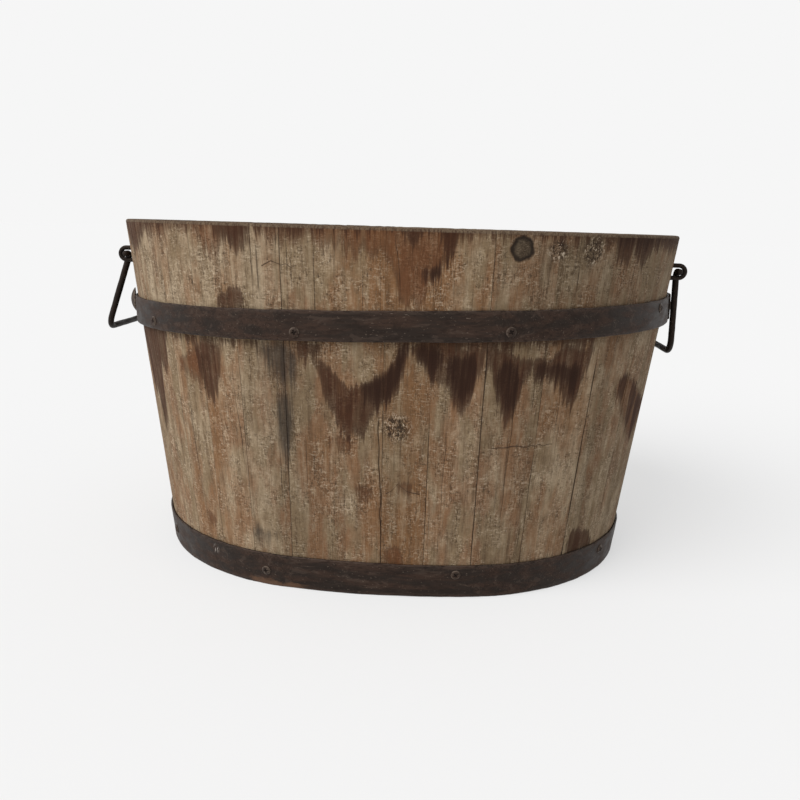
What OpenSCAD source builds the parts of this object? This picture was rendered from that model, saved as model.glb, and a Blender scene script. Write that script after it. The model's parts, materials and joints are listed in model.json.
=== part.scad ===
// Oval coopered washing tub: splayed staves held by two iron hoops, a boarded
// bottom let into a groove, and a wire bail handle in two staples at each end.
// Millimetres, +Z up. The origin is the middle of the oval, on the floor.
// +X runs along the length of the tub and -Y is the side that is seen first.

/* [Tub] */
// Length over the rim
tub_length = 600; // [560:5:760]
// Width over the rim
tub_width = 496; // [420:4:560]
// Height of the staves
tub_height = 350; // [330:5:420]
// Outward lean of the walls, in degrees from upright
splay = 7.24; // [4:0.02:9]
// Angle that the flatter arc of each side turns through
side_sweep = 17; // [14:1:30]

/* [Staves] */
// Thickness of a stave
stave_thick = 20; // [17:0.5:26]
// Gap that drying has opened between two staves
stave_gap = 0.4; // [0.1:0.1:0.8]
// Bevel along both edges of the rim
rim_bevel = 2; // [0.5:0.5:5]

/* [Bottom] */
// Height of the bottom boards above the floor
chime = 28; // [24:1:45]
// Thickness of the bottom boards
bottom_thick = 18; // [14:1:26]
// Depth of the groove that holds the boards
croze_depth = 6; // [4:0.5:8]
// Play of the boards in their groove and between each other
board_play = 0.3; // [0.1:0.1:0.6]
// Number of boards in the bottom
board_count = 4; // [3:1:6]
// Diameter of the dowels between the boards
dowel_d = 8; // [6:0.5:10]
// Length of a dowel
dowel_length = 40; // [24:2:50]
// Distance between the two dowels of a joint
dowel_spacing = 180; // [100:10:240]

/* [Hoops] */
// Thickness of the hoop iron
hoop_thick = 2.5; // [1.5:0.25:4]
// Play between a hoop and the staves
hoop_play = 0.15; // [0.05:0.05:0.25]
// How far the sides of a hoop stand outside its ends, where they run into each other
hoop_step = 0.1; // [0.05:0.05:0.2]
// Width of the lower hoop, which stands flush with the feet of the staves
lower_hoop_width = 35; // [26:1:48]
// Width of the upper hoop
upper_hoop_width = 28; // [22:1:40]
// Height of the middle of the upper hoop
upper_hoop_height = 266; // [230:2:275]
// Tilt of the upper hoop, which has been driven higher at the +X end
upper_hoop_tilt = 1.72; // [0:0.02:2]
// Angle that the overlapped ends of a hoop cover
lap_angle = 14; // [12:1:16]
// Diameter of a lap rivet's shank
rivet_d = 6; // [4:0.5:8]
// Diameter of a lap rivet's head
rivet_head_d = 12; // [9:0.5:16]
// Height of a lap rivet's head
rivet_head_height = 2.8; // [1.5:0.1:4]
// Depth that a lap rivet's closed tail reaches into a stave
rivet_tail = 2; // [1:0.25:4]

/* [Hoop screws and end stud] */
// Diameter of a screw's shank
screw_d = 4; // [3:0.25:5]
// Diameter of a screw's head
screw_head_d = 9.5; // [7:0.5:12]
// Height of a screw's head
screw_head_height = 1.6; // [1:0.1:3]
// Depth that a screw or the stud bites into a stave
screw_bite = 13; // [8:0.5:15]
// Length of the cross that is cut into a screw's head
screw_cross_length = 5; // [3.5:0.25:6]
// Width of an arm of the cross
screw_cross_width = 1.4; // [0.8:0.1:2]
// Depth of the cross
screw_cross_depth = 0.9; // [0.4:0.1:1]
// Play of a shank in its hole
shank_play = 0.05; // [0.02:0.01:0.1]
// Diameter of the domed stud on the -X end
stud_d = 25; // [16:1:28]
// Height of the stud's dome
stud_height = 4.5; // [3:0.5:7]
// Depth of the stud's middle below the hoop's upper edge
stud_drop = 6; // [5:0.5:14]

/* [Handles] */
// Diameter of the bail wire
bail_d = 7; // [5:0.25:9]
// Distance between the middles of a bail's two legs
bail_width = 100; // [80:2:120]
// Drop from the pivots to the middle of the grip
bail_drop = 86; // [70:1:95]
// Radius of the bail's lower corners, at the middle of the wire
bail_corner = 14; // [8:0.5:20]
// Radius of the bend at a pivot, at the middle of the wire
pivot_bend = 6; // [5:0.5:9]
// Height of the pivots above the floor
pivot_height = 313; // [300:1:320]
// Space between a leg and the wall at the pivot
bail_stand_off = 0.9; // [0.6:0.1:3]
// Play of a pivot in its staple
pivot_play = 0.4; // [0.3:0.05:0.8]
// Space between a staple and the bend of its pivot
staple_gap = 1; // [0.5:0.25:3]
// Diameter of the staple wire
staple_d = 5; // [4:0.25:6]
// Depth that a staple's prongs bite into a stave
staple_bite = 14; // [8:0.5:15]
// Swing of the -X bail out from hanging, in degrees, where it has stuck
left_swing = 18.5; // [0:0.1:60]
// Swing of the +X bail out from hanging, in degrees
right_swing = 1.3; // [0:0.1:60]

/* [Hidden] */
$fn = 144;
overshoot = 1;

// Joints between the staves of each arc, in degrees from the arc's middle
right_end_seams = [-67.5, -53, -38, -22, -6, 10, 26, 41, 55, 68];
back_seams = [-3, 2.5];
left_end_seams = [-68, -54, -39, -24, -8, 7, 23, 36, 48, 59, 70.1];
front_seams = [0, 4];

// Direction of each screw in a hoop, and its height as a share of the hoop's width
upper_screws = [[48, 0.31], [90, 0.36], [134, 0.27], [222, 0.3], [262.5, 0.29], [282.6, 0.32], [330.6, 0.7]];
lower_screws = [
    [34, 0.53], [75, 0.58], [118, 0.47], [164, 0.55], [210, 0.5], [253.8, 0.47], [277.1, 0.73], [325.7, 0.69]
];
// Directions of the middles of the two laps and of the stud
upper_lap_at = 357;
lower_lap_at = 90;
stud_at = 198;

lean = tan(splay);
half_length = tub_length / 2;
half_width = tub_width / 2;
wall_run = stave_thick / cos(splay);

// A cooper's oval: tight arcs for the ends that run smoothly into flatter ones for the sides
side_half_angle = side_sweep / 2;
side_offset = (half_length - half_width) / (tan(side_half_angle) - 1 / cos(side_half_angle) + 1);
side_radius = side_offset + half_width;
end_offset = side_offset * tan(side_half_angle);
end_radius = half_length - end_offset;

// The arcs in turn: +X end, back, -X end, front, and the +X end again
arc_mids = [0, 90, 180, 270, 360];
end_half_angle = 90 - side_half_angle;
arc_halves = [end_half_angle, side_half_angle, end_half_angle, side_half_angle, end_half_angle];
arc_centres = [[end_offset, 0], [0, -side_offset], [-end_offset, 0], [0, side_offset], [end_offset, 0]];
arc_radii = [end_radius, side_radius, end_radius, side_radius, end_radius];
arc_last = len(arc_radii) - 1;

// The staves in turn, each as its arc, where it starts and where it ends
arc_seams = [right_end_seams, back_seams, left_end_seams, front_seams];
function arc_joints(k) = concat([-arc_halves[k]], arc_seams[k], [arc_halves[k]]);
staves = [
    for (k = [0 : len(arc_seams) - 1])
        let (joints = arc_joints(k))
            for (i = [0 : len(joints) - 2]) [k, arc_mids[k] + joints[i], arc_mids[k] + joints[i + 1]]
];
stave_count = len(staves);

// A stave is cut by a hole that lies within this angle of it
hole_margin = 3;
function meets(angle, from, to) = angle > from - hole_margin && angle < to + hole_margin;
function near(angle, from, to) = meets(angle, from, to) || meets(angle - 360, from, to);

// Inset of the outer wall from the rim at a height
function inset(z) = lean * (tub_height - z);
// The arc that a direction falls on
function arc_of(angle, k = 0) =
    (k == arc_last || angle < arc_mids[k] + arc_halves[k]) ? k : arc_of(angle, k + 1);
// A point of the outer wall, in a direction and at a height
function wall_point(angle, z) =
    let (k = arc_of(angle), radius = arc_radii[k] - inset(z))
    [arc_centres[k].x + radius * cos(angle), arc_centres[k].y + radius * sin(angle), z];
// How far out the end wall is at a distance from the middle and a height
function end_wall(y, z) = end_offset + sqrt(pow(end_radius - inset(z), 2) - y * y);

// Heights and radii that fit the bottom into its groove
bottom_top = chime + bottom_thick;
croze_inset = inset(chime) + wall_run - croze_depth;
board_inset = croze_inset + board_play;
board_width = 2 * (half_width - board_inset) / board_count;
dowel_height = chime + bottom_thick / 2;

// The upper hoop is a straight strip in a tilted plane. Its upper edge fits the wall, and its lower
// edge stands off as the wall leans away. The tilt moves the fit towards the high end.
hoop_slope = tan(upper_hoop_tilt);
upper_hoop_rise = upper_hoop_width / 2;
upper_hoop_shift = hoop_slope * (lean * half_length + upper_hoop_rise);
upper_hoop_inset = inset(upper_hoop_height + upper_hoop_rise) - lean * hoop_slope * end_offset;
// Height from the upper hoop's middle at a share of its width
function upper_rise(share) = upper_hoop_width * share - upper_hoop_rise;
stud_rise = upper_hoop_rise - stud_drop;
// How far the wall lies behind the upper hoop, at a height from the hoop's middle
function upper_hoop_gap(rise) = lean * (upper_hoop_rise - rise);
hoop_face = hoop_play + hoop_thick + hoop_step;
// Angle that the ends of a hoop run on behind its sides
hoop_overlap = 1;
lower_hoop_mid = lower_hoop_width / 2;

// Places of the handles' pivots and staples
leg_y = bail_width / 2;
staple_y = leg_y + pivot_bend + staple_gap + staple_d / 2;
pivot_end_y = staple_y + staple_d / 2 + bail_d / 2;
pivot_x = end_wall(leg_y, pivot_height) + bail_d / 2 + bail_stand_off;
eye_radius = bail_d / 2 + pivot_play;
prong_z = eye_radius + staple_d / 2;
prong_length = pivot_x - end_wall(staple_y, pivot_height) + staple_bite;
staple_angle = asin(staple_y / (end_radius - inset(pivot_height)));
staple_angles = [staple_angle, 180 - staple_angle, 180 + staple_angle, 360 - staple_angle];

wood = "#8d7b62";
board_wood = "#6f604c";
dowel_wood = "#a58d68";
hoop_iron = "#4a4140";
fastener_iron = "#3a3534";
wire_iron = "#2b2827";

function stave_name(i) = str("stave_", i + 1);
function board_name(i) = str("bottom_board_", i + 1);

// Cross-section of a stave on an arc, with its groove and bevelled rim
module stave_section(radius) {
    foot = radius - inset(0);
    rim = radius;
    groove = radius - croze_inset;
    polygon([
        [foot, 0],
        [rim - lean * rim_bevel, tub_height - rim_bevel],
        [rim - rim_bevel, tub_height],
        [rim - wall_run + rim_bevel, tub_height],
        [rim - wall_run - lean * rim_bevel, tub_height - rim_bevel],
        [radius - inset(bottom_top) - wall_run, bottom_top],
        [groove, bottom_top],
        [groove, chime],
        [radius - inset(chime) - wall_run, chime],
        [foot - wall_run, 0]
    ]);
}

// Sweeps a section round one arc, between two directions
module sweep_arc(k, from, to) {
    translate(arc_centres[k]) rotate(from) rotate_extrude(angle = to - from) children();
}

// Stands children on the outer wall, with their Z axis pointing straight out of it
module on_wall(angle, z) {
    translate(wall_point(angle, z)) rotate([0, 90 + splay, angle]) children();
}

// Places children in the plane of the upper hoop, with the middle of the hoop at the origin
module in_hoop_plane() {
    translate([0, 0, upper_hoop_height]) rotate([0, -upper_hoop_tilt, 0])
        translate([upper_hoop_shift, 0, 0]) children();
}

// Stands children on the upper hoop's seat, with their Z axis pointing straight out of the hoop
module on_upper_hoop(angle, rise) {
    k = arc_of(angle);
    in_hoop_plane() translate([arc_centres[k].x, arc_centres[k].y, rise]) rotate(angle)
        translate([arc_radii[k] - upper_hoop_inset, 0, 0]) rotate([0, 90, 0]) children();
}

// Hole along a shank that is driven through a hoop to a depth behind its seat
module shank_hole(d, depth) {
    translate([0, 0, -depth - shank_play])
        cylinder(d = d + 2 * shank_play, h = depth + shank_play + hoop_face + hoop_thick + overshoot);
}

// All the holes that the screws, the stud and the lap rivets need in one hoop and the staves behind it
module upper_hoop_holes(from, to) {
    for (screw = upper_screws)
        if (near(screw[0], from, to))
            on_upper_hoop(screw[0], upper_rise(screw[1]))
                shank_hole(screw_d, screw_bite + upper_hoop_gap(upper_rise(screw[1])));
    if (near(stud_at, from, to))
        on_upper_hoop(stud_at, stud_rise) shank_hole(screw_d, screw_bite + upper_hoop_gap(stud_rise));
    for (angle = rivet_angles(upper_lap_at))
        if (near(angle, from, to))
            on_upper_hoop(angle, 0) shank_hole(rivet_d, rivet_tail + upper_hoop_gap(0));
}

module lower_hoop_holes(from, to) {
    for (screw = lower_screws)
        if (near(screw[0], from, to))
            on_wall(screw[0], lower_hoop_width * screw[1]) shank_hole(screw_d, screw_bite);
    for (angle = rivet_angles(lower_lap_at))
        if (near(angle, from, to))
            on_wall(angle, lower_hoop_mid) shank_hole(rivet_d, rivet_tail);
}

// Holes for the prongs of a staple on the end that faces the given side
module prong_holes(side, front) {
    for (up = [-1, 1])
        translate([side * pivot_x, front * staple_y, pivot_height + up * prong_z])
            rotate([0, -90 * side, 0])
                cylinder(d = staple_d + 2 * shank_play, h = prong_length + shank_play);
}

module stave(i) {
    k = staves[i][0];
    from = staves[i][1];
    to = staves[i][2];
    half_gap = stave_gap / 2 / arc_radii[k] * 180 / PI;
    color(wood) difference() {
        sweep_arc(k, from + half_gap, to - half_gap) stave_section(arc_radii[k]);
        upper_hoop_holes(from, to);
        lower_hoop_holes(from, to);
        for (corner = [0 : len(staple_angles) - 1])
            if (near(staple_angles[corner], from, to))
                prong_holes(corner == 0 || corner == 3 ? 1 : -1, corner < 2 ? 1 : -1);
    }
}

// Flat oval, drawn in from the rim's outline by an amount
module oval(drawn_in) {
    flat = side_radius - drawn_in;
    reach = flat * sin(side_half_angle);
    for (side = [-1, 1]) translate([side * end_offset, 0]) circle(r = end_radius - drawn_in);
    intersection() {
        translate([0, side_offset]) circle(r = flat);
        translate([0, -side_offset]) circle(r = flat);
        square([2 * reach, 2 * half_width], center = true);
    }
}

module dowels(play) {
    for (joint = [1 : board_count - 1])
        for (side = [-1, 1])
            translate([side * dowel_spacing / 2, (joint - board_count / 2) * board_width, dowel_height])
                rotate([90, 0, 0])
                    cylinder(d = dowel_d + 2 * play, h = dowel_length + 2 * play, center = true);
}

module bottom_board(i) {
    edge = (i - board_count / 2) * board_width + board_play / 2;
    color(board_wood) difference() {
        translate([0, 0, chime + board_play / 2]) linear_extrude(bottom_thick - board_play)
            intersection() {
                oval(board_inset);
                translate([-half_length, edge]) square([tub_length, board_width - board_play]);
            }
        dowels(shank_play);
    }
}

module bottom_dowels() {
    color(dowel_wood) dowels(0);
}

// Section of hoop iron between two heights, whose seat is at one radius below and another above
module hoop_section(low, high, low_radius, high_radius, inner, outer) {
    polygon([
        [low_radius + inner, low],
        [low_radius + outer, low],
        [high_radius + outer, high],
        [high_radius + inner, high]
    ]);
}

// A closed hoop with the second thickness of its lap. Its seat is drawn in from the rim's outline
// by an amount that differs below and above.
module hoop_band(low, high, low_inset, high_inset, lap_at) {
    for (k = [0, 2])
        sweep_arc(k, arc_mids[k] - arc_halves[k] - hoop_overlap, arc_mids[k] + arc_halves[k] + hoop_overlap)
            hoop_section(low, high, arc_radii[k] - low_inset, arc_radii[k] - high_inset,
                hoop_play, hoop_face - hoop_step);
    for (k = [1, 3])
        sweep_arc(k, arc_mids[k] - arc_halves[k], arc_mids[k] + arc_halves[k])
            hoop_section(low, high, arc_radii[k] - low_inset, arc_radii[k] - high_inset,
                hoop_play + hoop_step, hoop_face);
    lap_arc = arc_of(lap_at);
    sweep_arc(lap_arc, lap_at - lap_angle / 2, lap_at + lap_angle / 2)
        hoop_section(low, high, arc_radii[lap_arc] - low_inset, arc_radii[lap_arc] - high_inset,
            hoop_play, hoop_face + hoop_thick);
}

function rivet_angles(lap_at) = [lap_at - lap_angle / 4, lap_at + lap_angle / 4];

module upper_hoop() {
    reach = upper_hoop_rise + overshoot;
    color(hoop_iron) difference() {
        in_hoop_plane() intersection() {
            hoop_band(-reach, reach, upper_hoop_inset, upper_hoop_inset, upper_lap_at);
            cube([2 * tub_length, 2 * tub_width, upper_hoop_width], center = true);
        }
        upper_hoop_holes(0, 360);
    }
}

module lower_hoop() {
    low = -overshoot;
    high = lower_hoop_width + overshoot;
    color(hoop_iron) difference() {
        intersection() {
            hoop_band(low, high, inset(low), inset(high), lower_lap_at);
            translate([0, 0, lower_hoop_mid])
                cube([2 * tub_length, 2 * tub_width, lower_hoop_width], center = true);
        }
        lower_hoop_holes(0, 360);
    }
}

// Part of a ball that stands on a flat face
module dome(d, height) {
    ball = (d * d / 4 + height * height) / (2 * height);
    intersection() {
        translate([0, 0, height - ball]) sphere(r = ball);
        cylinder(d = d + overshoot, h = height + overshoot);
    }
}

// Lap rivet: a domed head outside the lap and a tail that reaches to a depth behind the seat
module lap_rivet(depth) {
    translate([0, 0, -depth]) cylinder(d = rivet_d, h = depth + hoop_face + hoop_thick);
    translate([0, 0, hoop_face + hoop_thick]) dome(rivet_head_d, rivet_head_height);
}

module upper_hoop_rivets() {
    color(fastener_iron) for (angle = rivet_angles(upper_lap_at))
        on_upper_hoop(angle, 0) lap_rivet(rivet_tail + upper_hoop_gap(0));
}

module lower_hoop_rivets() {
    color(fastener_iron) for (angle = rivet_angles(lower_lap_at))
        on_wall(angle, lower_hoop_mid) lap_rivet(rivet_tail);
}

// Round-headed wood screw that reaches to a depth behind a hoop's seat, with a cross in its head
module hoop_screw(depth) {
    translate([0, 0, -depth]) cylinder(d = screw_d, h = depth + hoop_face);
    translate([0, 0, hoop_face]) difference() {
        dome(screw_head_d, screw_head_height);
        for (turn = [0, 90])
            rotate(turn)
                translate([0, 0, screw_head_height - screw_cross_depth + overshoot])
                    cube([screw_cross_length, screw_cross_width, 2 * overshoot], center = true);
    }
}

module upper_hoop_screws() {
    color(fastener_iron) for (screw = upper_screws)
        on_upper_hoop(screw[0], upper_rise(screw[1]))
            hoop_screw(screw_bite + upper_hoop_gap(upper_rise(screw[1])));
}

module lower_hoop_screws() {
    color(fastener_iron) for (screw = lower_screws)
        on_wall(screw[0], lower_hoop_width * screw[1]) hoop_screw(screw_bite);
}

module end_stud() {
    depth = screw_bite + upper_hoop_gap(stud_rise);
    color(fastener_iron) on_upper_hoop(stud_at, stud_rise) {
        translate([0, 0, -depth]) cylinder(d = screw_d, h = depth + hoop_face);
        translate([0, 0, hoop_face]) dome(stud_d, stud_height);
    }
}

// U-shaped staple on the end that faces the given side, with its eye along Y
module staple(side, front) {
    color(wire_iron) mirror([side < 0 ? 1 : 0, 0, 0])
        translate([pivot_x, front * staple_y, pivot_height]) {
            rotate([90, 0, 0]) rotate(-90) rotate_extrude(angle = 180)
                translate([prong_z, 0]) circle(d = staple_d);
            for (up = [-1, 1])
                translate([0, 0, up * prong_z]) rotate([0, -90, 0]) cylinder(d = staple_d, h = prong_length);
        }
}

// Quarter bend of bail wire round a centre, from one direction to the next
module wire_bend(radius) {
    rotate_extrude(angle = 90) translate([radius, 0]) circle(d = bail_d);
}

// Half of a bail that hangs straight down from the Y axis
module bail_half() {
    leg_top = -pivot_bend;
    leg_foot = bail_corner - bail_drop;
    grip_end = leg_y - bail_corner;
    translate([0, leg_y + pivot_bend, 0]) rotate([-90, 0, 0])
        cylinder(d = bail_d, h = pivot_end_y - leg_y - pivot_bend);
    translate([0, leg_y + pivot_bend, leg_top]) rotate([0, -90, 180]) wire_bend(pivot_bend);
    translate([0, leg_y, leg_foot]) cylinder(d = bail_d, h = leg_top - leg_foot);
    translate([0, grip_end, leg_foot]) rotate([0, 90, 0]) wire_bend(bail_corner);
    translate([0, 0, -bail_drop]) rotate([-90, 0, 0]) cylinder(d = bail_d, h = grip_end);
}

module bail(side, swing) {
    color(wire_iron) mirror([side < 0 ? 1 : 0, 0, 0])
        translate([pivot_x, 0, pivot_height]) rotate([0, -swing, 0]) {
            bail_half();
            mirror([0, 1, 0]) bail_half();
        }
}

for (i = [0 : stave_count - 1])
    stave(i);
for (i = [0 : board_count - 1])
    bottom_board(i);
bottom_dowels();
upper_hoop();
lower_hoop();
upper_hoop_rivets();
lower_hoop_rivets();
upper_hoop_screws();
lower_hoop_screws();
end_stud();
staple(-1, -1);  // left_front_staple
staple(-1, 1);  // left_back_staple
staple(1, -1);  // right_front_staple
staple(1, 1);  // right_back_staple
bail(-1, left_swing);  // left_bail
bail(1, right_swing);  // right_bail
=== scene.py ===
# %% [markdown]
# # An old washing tub
# A cooper made this tub from straight staves of softwood, held in an oval by two iron hoops. The
# measured frame already has every piece in its place, so this lesson adds what years of water and
# weather did to it: worn edges, open cracks, stains that ran down from the rim, and rusty iron.

import json
import math

import bpy
import numpy as np
from mathutils import Matrix, Vector


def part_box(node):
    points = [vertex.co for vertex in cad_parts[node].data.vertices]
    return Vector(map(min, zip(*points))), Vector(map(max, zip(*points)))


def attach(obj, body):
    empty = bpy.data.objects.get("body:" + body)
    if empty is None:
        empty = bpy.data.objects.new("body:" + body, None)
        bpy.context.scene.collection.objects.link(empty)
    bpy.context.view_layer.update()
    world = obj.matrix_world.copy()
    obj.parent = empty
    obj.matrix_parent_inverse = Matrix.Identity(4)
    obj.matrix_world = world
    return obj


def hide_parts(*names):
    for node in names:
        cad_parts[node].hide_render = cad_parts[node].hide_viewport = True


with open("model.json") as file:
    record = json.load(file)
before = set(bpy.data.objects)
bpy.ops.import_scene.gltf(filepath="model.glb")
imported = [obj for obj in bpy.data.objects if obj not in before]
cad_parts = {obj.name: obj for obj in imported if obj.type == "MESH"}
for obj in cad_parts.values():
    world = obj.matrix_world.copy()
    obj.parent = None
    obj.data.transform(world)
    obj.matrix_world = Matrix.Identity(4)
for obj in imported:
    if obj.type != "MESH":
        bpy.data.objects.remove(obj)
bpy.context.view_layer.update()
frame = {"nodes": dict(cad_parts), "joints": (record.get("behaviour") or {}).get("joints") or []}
nodes = frame["nodes"]
MM = 0.001
print("pieces in the frame:", len(nodes))

# %% [markdown]
# ## The cooper's oval
# Four arcs make the oval: a tight one at each end and a flatter one at each side. Every stave leans
# out by the same splay, so each arc of the wall is a part of a cone. A place on the wall is then
# given by a direction (degrees from +X, with the front at 270) and a height, as a maker would mark
# it. The sizes are measured from the frame, so that the new staves fit where the plain ones stood;
# only the splay, the staves' thickness and the sweep of the flat sides are the maker's own numbers.

# %% Measure the tub
SPLAY = math.radians(7.24)
STAVE_THICK = 20
SIDE_HALF_ANGLE = 8.5
stave_names = [name for name in nodes if name.startswith("stave_")]
stave_boxes = [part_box(name) for name in stave_names]
half_length = max(high.x for low, high in stave_boxes) / MM
half_width = max(high.y for low, high in stave_boxes) / MM
tub_height = max(high.z for low, high in stave_boxes) / MM
lean = math.tan(SPLAY)
wall_run = STAVE_THICK / math.cos(SPLAY)
print("half length, half width, height:", round(half_length), round(half_width), round(tub_height))

# %% Draw the four arcs
side_turn = math.radians(SIDE_HALF_ANGLE)
flatness = math.tan(side_turn) - 1 / math.cos(side_turn) + 1
side_offset = (half_length - half_width) / flatness
side_radius = side_offset + half_width
end_offset = side_offset * math.tan(side_turn)
end_radius = half_length - end_offset
END_HALF_ANGLE = 90 - SIDE_HALF_ANGLE
ARCS = [
    (end_offset, 0, end_radius, 0, END_HALF_ANGLE),
    (0, -side_offset, side_radius, 90, SIDE_HALF_ANGLE),
    (-end_offset, 0, end_radius, 180, END_HALF_ANGLE),
    (0, side_offset, side_radius, 270, SIDE_HALF_ANGLE),
]
print("radius of the ends and the sides, mm:", round(end_radius), round(side_radius))

# %% [markdown]
# Each stave keeps the two joints that it has in the frame. They could be typed in again, but it is
# safer to read them off: the points of a plain stave, seen from the centre of its own arc, lie
# between two directions, and these are its edges.

# %% Find a place on the arcs
WALL_DEPTH, HEAD_ROOM = 80, 20


def turned(angle, middle):
    """An angle as it lies within half a turn of a middle direction."""
    return middle + (angle - middle + 180) % 360 - 180


def node_points(name):
    """The points of a piece of the frame, in millimetres."""
    mesh = nodes[name].data
    points = np.empty(len(mesh.vertices) * 3)
    mesh.vertices.foreach_get("co", points)
    return points.reshape(-1, 3) / MM


def arc_at(points):
    """The arc of the wall that some points lie on, and the direction of their middle from it."""
    across, along, _ = (points.max(axis=0) + points.min(axis=0)) / 2
    for arc in ARCS:
        x, y, radius, middle, half = arc
        direction = math.degrees(math.atan2(along - y, across - x))
        near = radius - WALL_DEPTH < math.hypot(across - x, along - y) < radius + HEAD_ROOM
        if near and abs(turned(direction, middle) - middle) <= half:
            return arc, direction


print("the first stave lies at direction", round(arc_at(node_points(stave_names[0]))[1]))


# %% Find the edges of each stave
def stave_span(name):
    """The arc of a stave and the directions of its two edges, from the plain stave."""
    points = node_points(name)
    arc, _ = arc_at(points)
    x, y, _, middle, _ = arc
    angles = turned(np.degrees(np.arctan2(points[:, 1] - y, points[:, 0] - x)), middle)
    start = angles.min() % 360
    return arc, start, start + angles.max() - angles.min()


def arc_length(turn, radius):
    """The length of an arc that turns by some degrees."""
    return turn * math.pi / 180 * radius


spans = {name: stave_span(name) for name in stave_names}
widths = [arc_length(end - start, arc[2]) for arc, start, end in spans.values()]
print("stave widths at the rim, mm:", round(min(widths)), "to", round(max(widths)))

# %% [markdown]
# ## Water marks
# Water ran down from the rim and from behind the upper hoop, and the tannin in it left brown
# stains. Each stain is drawn as a few stations: a direction, the height where it starts and the
# height where it ends. A stain could be painted on an image, but stations keep it a shape that can
# be moved along the wall. The ragged edge comes later, from the grain in the finish. A stain that
# comes over the rim starts well above it, at RIM. The light stains are thin washes.

# %% Light stains on the front
RIM = 380
LIGHT_STAINS = {
    "fringe left": [
        (222, RIM, 338), (231, RIM, 336), (236.5, RIM, 341), (241.5, RIM, 336), (246, RIM, 340),
    ],
    "rim drip": [
        (242.2, RIM, 342), (243.4, RIM, 322), (244.4, RIM, 315), (245.6, RIM, 322), (248, RIM, 330),
        (251, RIM, 330), (254, RIM, 342),
    ],
    "rim streaks": [
        (255.5, RIM, 345), (258.6, RIM, 333), (261.2, RIM, 329), (262.3, RIM, 333),
        (263.4, RIM, 341),
    ],
    "fringe middle": [
        (262.5, RIM, 338), (268, RIM, 340), (276, RIM, 341), (286, RIM, 344), (300, RIM, 341),
    ],
    "orange top": [
        (264, RIM, 344), (264.8, RIM, 330), (268.5, RIM, 326), (270.5, RIM, 316), (271.8, RIM, 340),
    ],
    "brown band": [
        (270.5, 348, 340), (270.9, 350, 294), (271.3, 350, 280), (271.7, 345, 284),
        (272.1, 335, 310),
    ],
    "under loop": [(271.6, 316, 304), (272.1, 322, 280), (272.8, 320, 280), (273.4, 314, 302)],
    "loop wash": [
        (271.6, RIM, 336), (272.3, RIM, 314), (273, RIM, 308), (274.4, RIM, 310), (274.9, RIM, 318),
        (275.4, RIM, 330), (276, RIM, 346),
    ],
    "beside left drip": [
        (229.5, 220, 212), (232, 225, 204), (235, 230, 202), (238, 234, 197), (239, 236, 205),
    ],
    "right wash": [
        (316, 208, 198), (320, 218, 182), (327, 206, 150), (334, 190, 138), (340, 181, 152),
        (346, 176, 170),
    ],
    "below vee": [(265, 161, 156), (266.2, 162, 150), (267.2, 160, 147), (268, 161, 157)],
    "red mark a": [(267.3, 114, 109), (268, 117, 101), (268.8, 113, 96), (269.5, 114, 106)],
    "red mark b": [(271.2, 118, 112), (272, 121, 106), (273, 116, 111)],
    "foot mark": [(270.3, 48, 34), (271.2, 58, 22), (272.3, 42, 28)],
    "low left mark": [(233.6, 62, 56), (235.2, 66, 46), (236.8, 58, 52)],
}
print("light stains:", len(LIGHT_STAINS))

# %% [markdown]
# The brown stains are the strong ones, in two rows: those that came over the rim, and the drips
# that came from behind the upper hoop. The line right under the hoop is partly a stain and partly
# painted shadow of the hoop.

# %% Brown stains at the rim
BROWN_AT_RIM = {
    "left corner": [
        (205, RIM, 330), (210, RIM, 318), (215, RIM, 320), (219, RIM, 327), (223, RIM, 342),
    ],
    "rim block": [
        (246.8, RIM, 344), (247.8, RIM, 334), (250.2, RIM, 332), (251.8, RIM, 322), (253, RIM, 318),
        (254.2, RIM, 340), (255, RIM, 347),
    ],
    "rim spot": [(254, 336, 333), (254.6, 339, 329), (255.4, 336, 332)],
    "rim line left": [
        (200, RIM, 346), (230, RIM, 345), (246, RIM, 347), (256, RIM, 344), (262, RIM, 341),
        (264, RIM, 345),
    ],
    "rim line": [
        (264, RIM, 346), (270, RIM, 347), (282, RIM, 348), (292, RIM, 346), (302, RIM, 348),
    ],
    "rim vee": [(271.5, RIM, 347), (272.1, RIM, 325), (272.6, RIM, 346)],
    "loop side": [
        (274.2, 316, 311), (274.5, 346, 312), (274.9, RIM, 320), (275.3, RIM, 332),
        (275.7, RIM, 346),
    ],
    "loop foot": [(272.7, 314, 308), (273.4, 317, 308), (274, 317, 310), (274.5, 320, 312)],
    "hoop patch": [
        (245.2, 282, 272), (246.5, 288, 272), (249, 291, 272), (250.8, 298, 272), (252.5, 295, 272),
        (253.8, 278, 272),
    ],
    "right rim": [
        (300, RIM, 347), (303, RIM, 338), (306, RIM, 345), (308.6, RIM, 322), (311, RIM, 320),
        (313, RIM, 336), (316, RIM, 320), (319, RIM, 324), (321, RIM, 338), (331, RIM, 334),
        (344, RIM, 338), (352, RIM, 346),
    ],
}
print("brown rim stains:", len(BROWN_AT_RIM))

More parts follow.
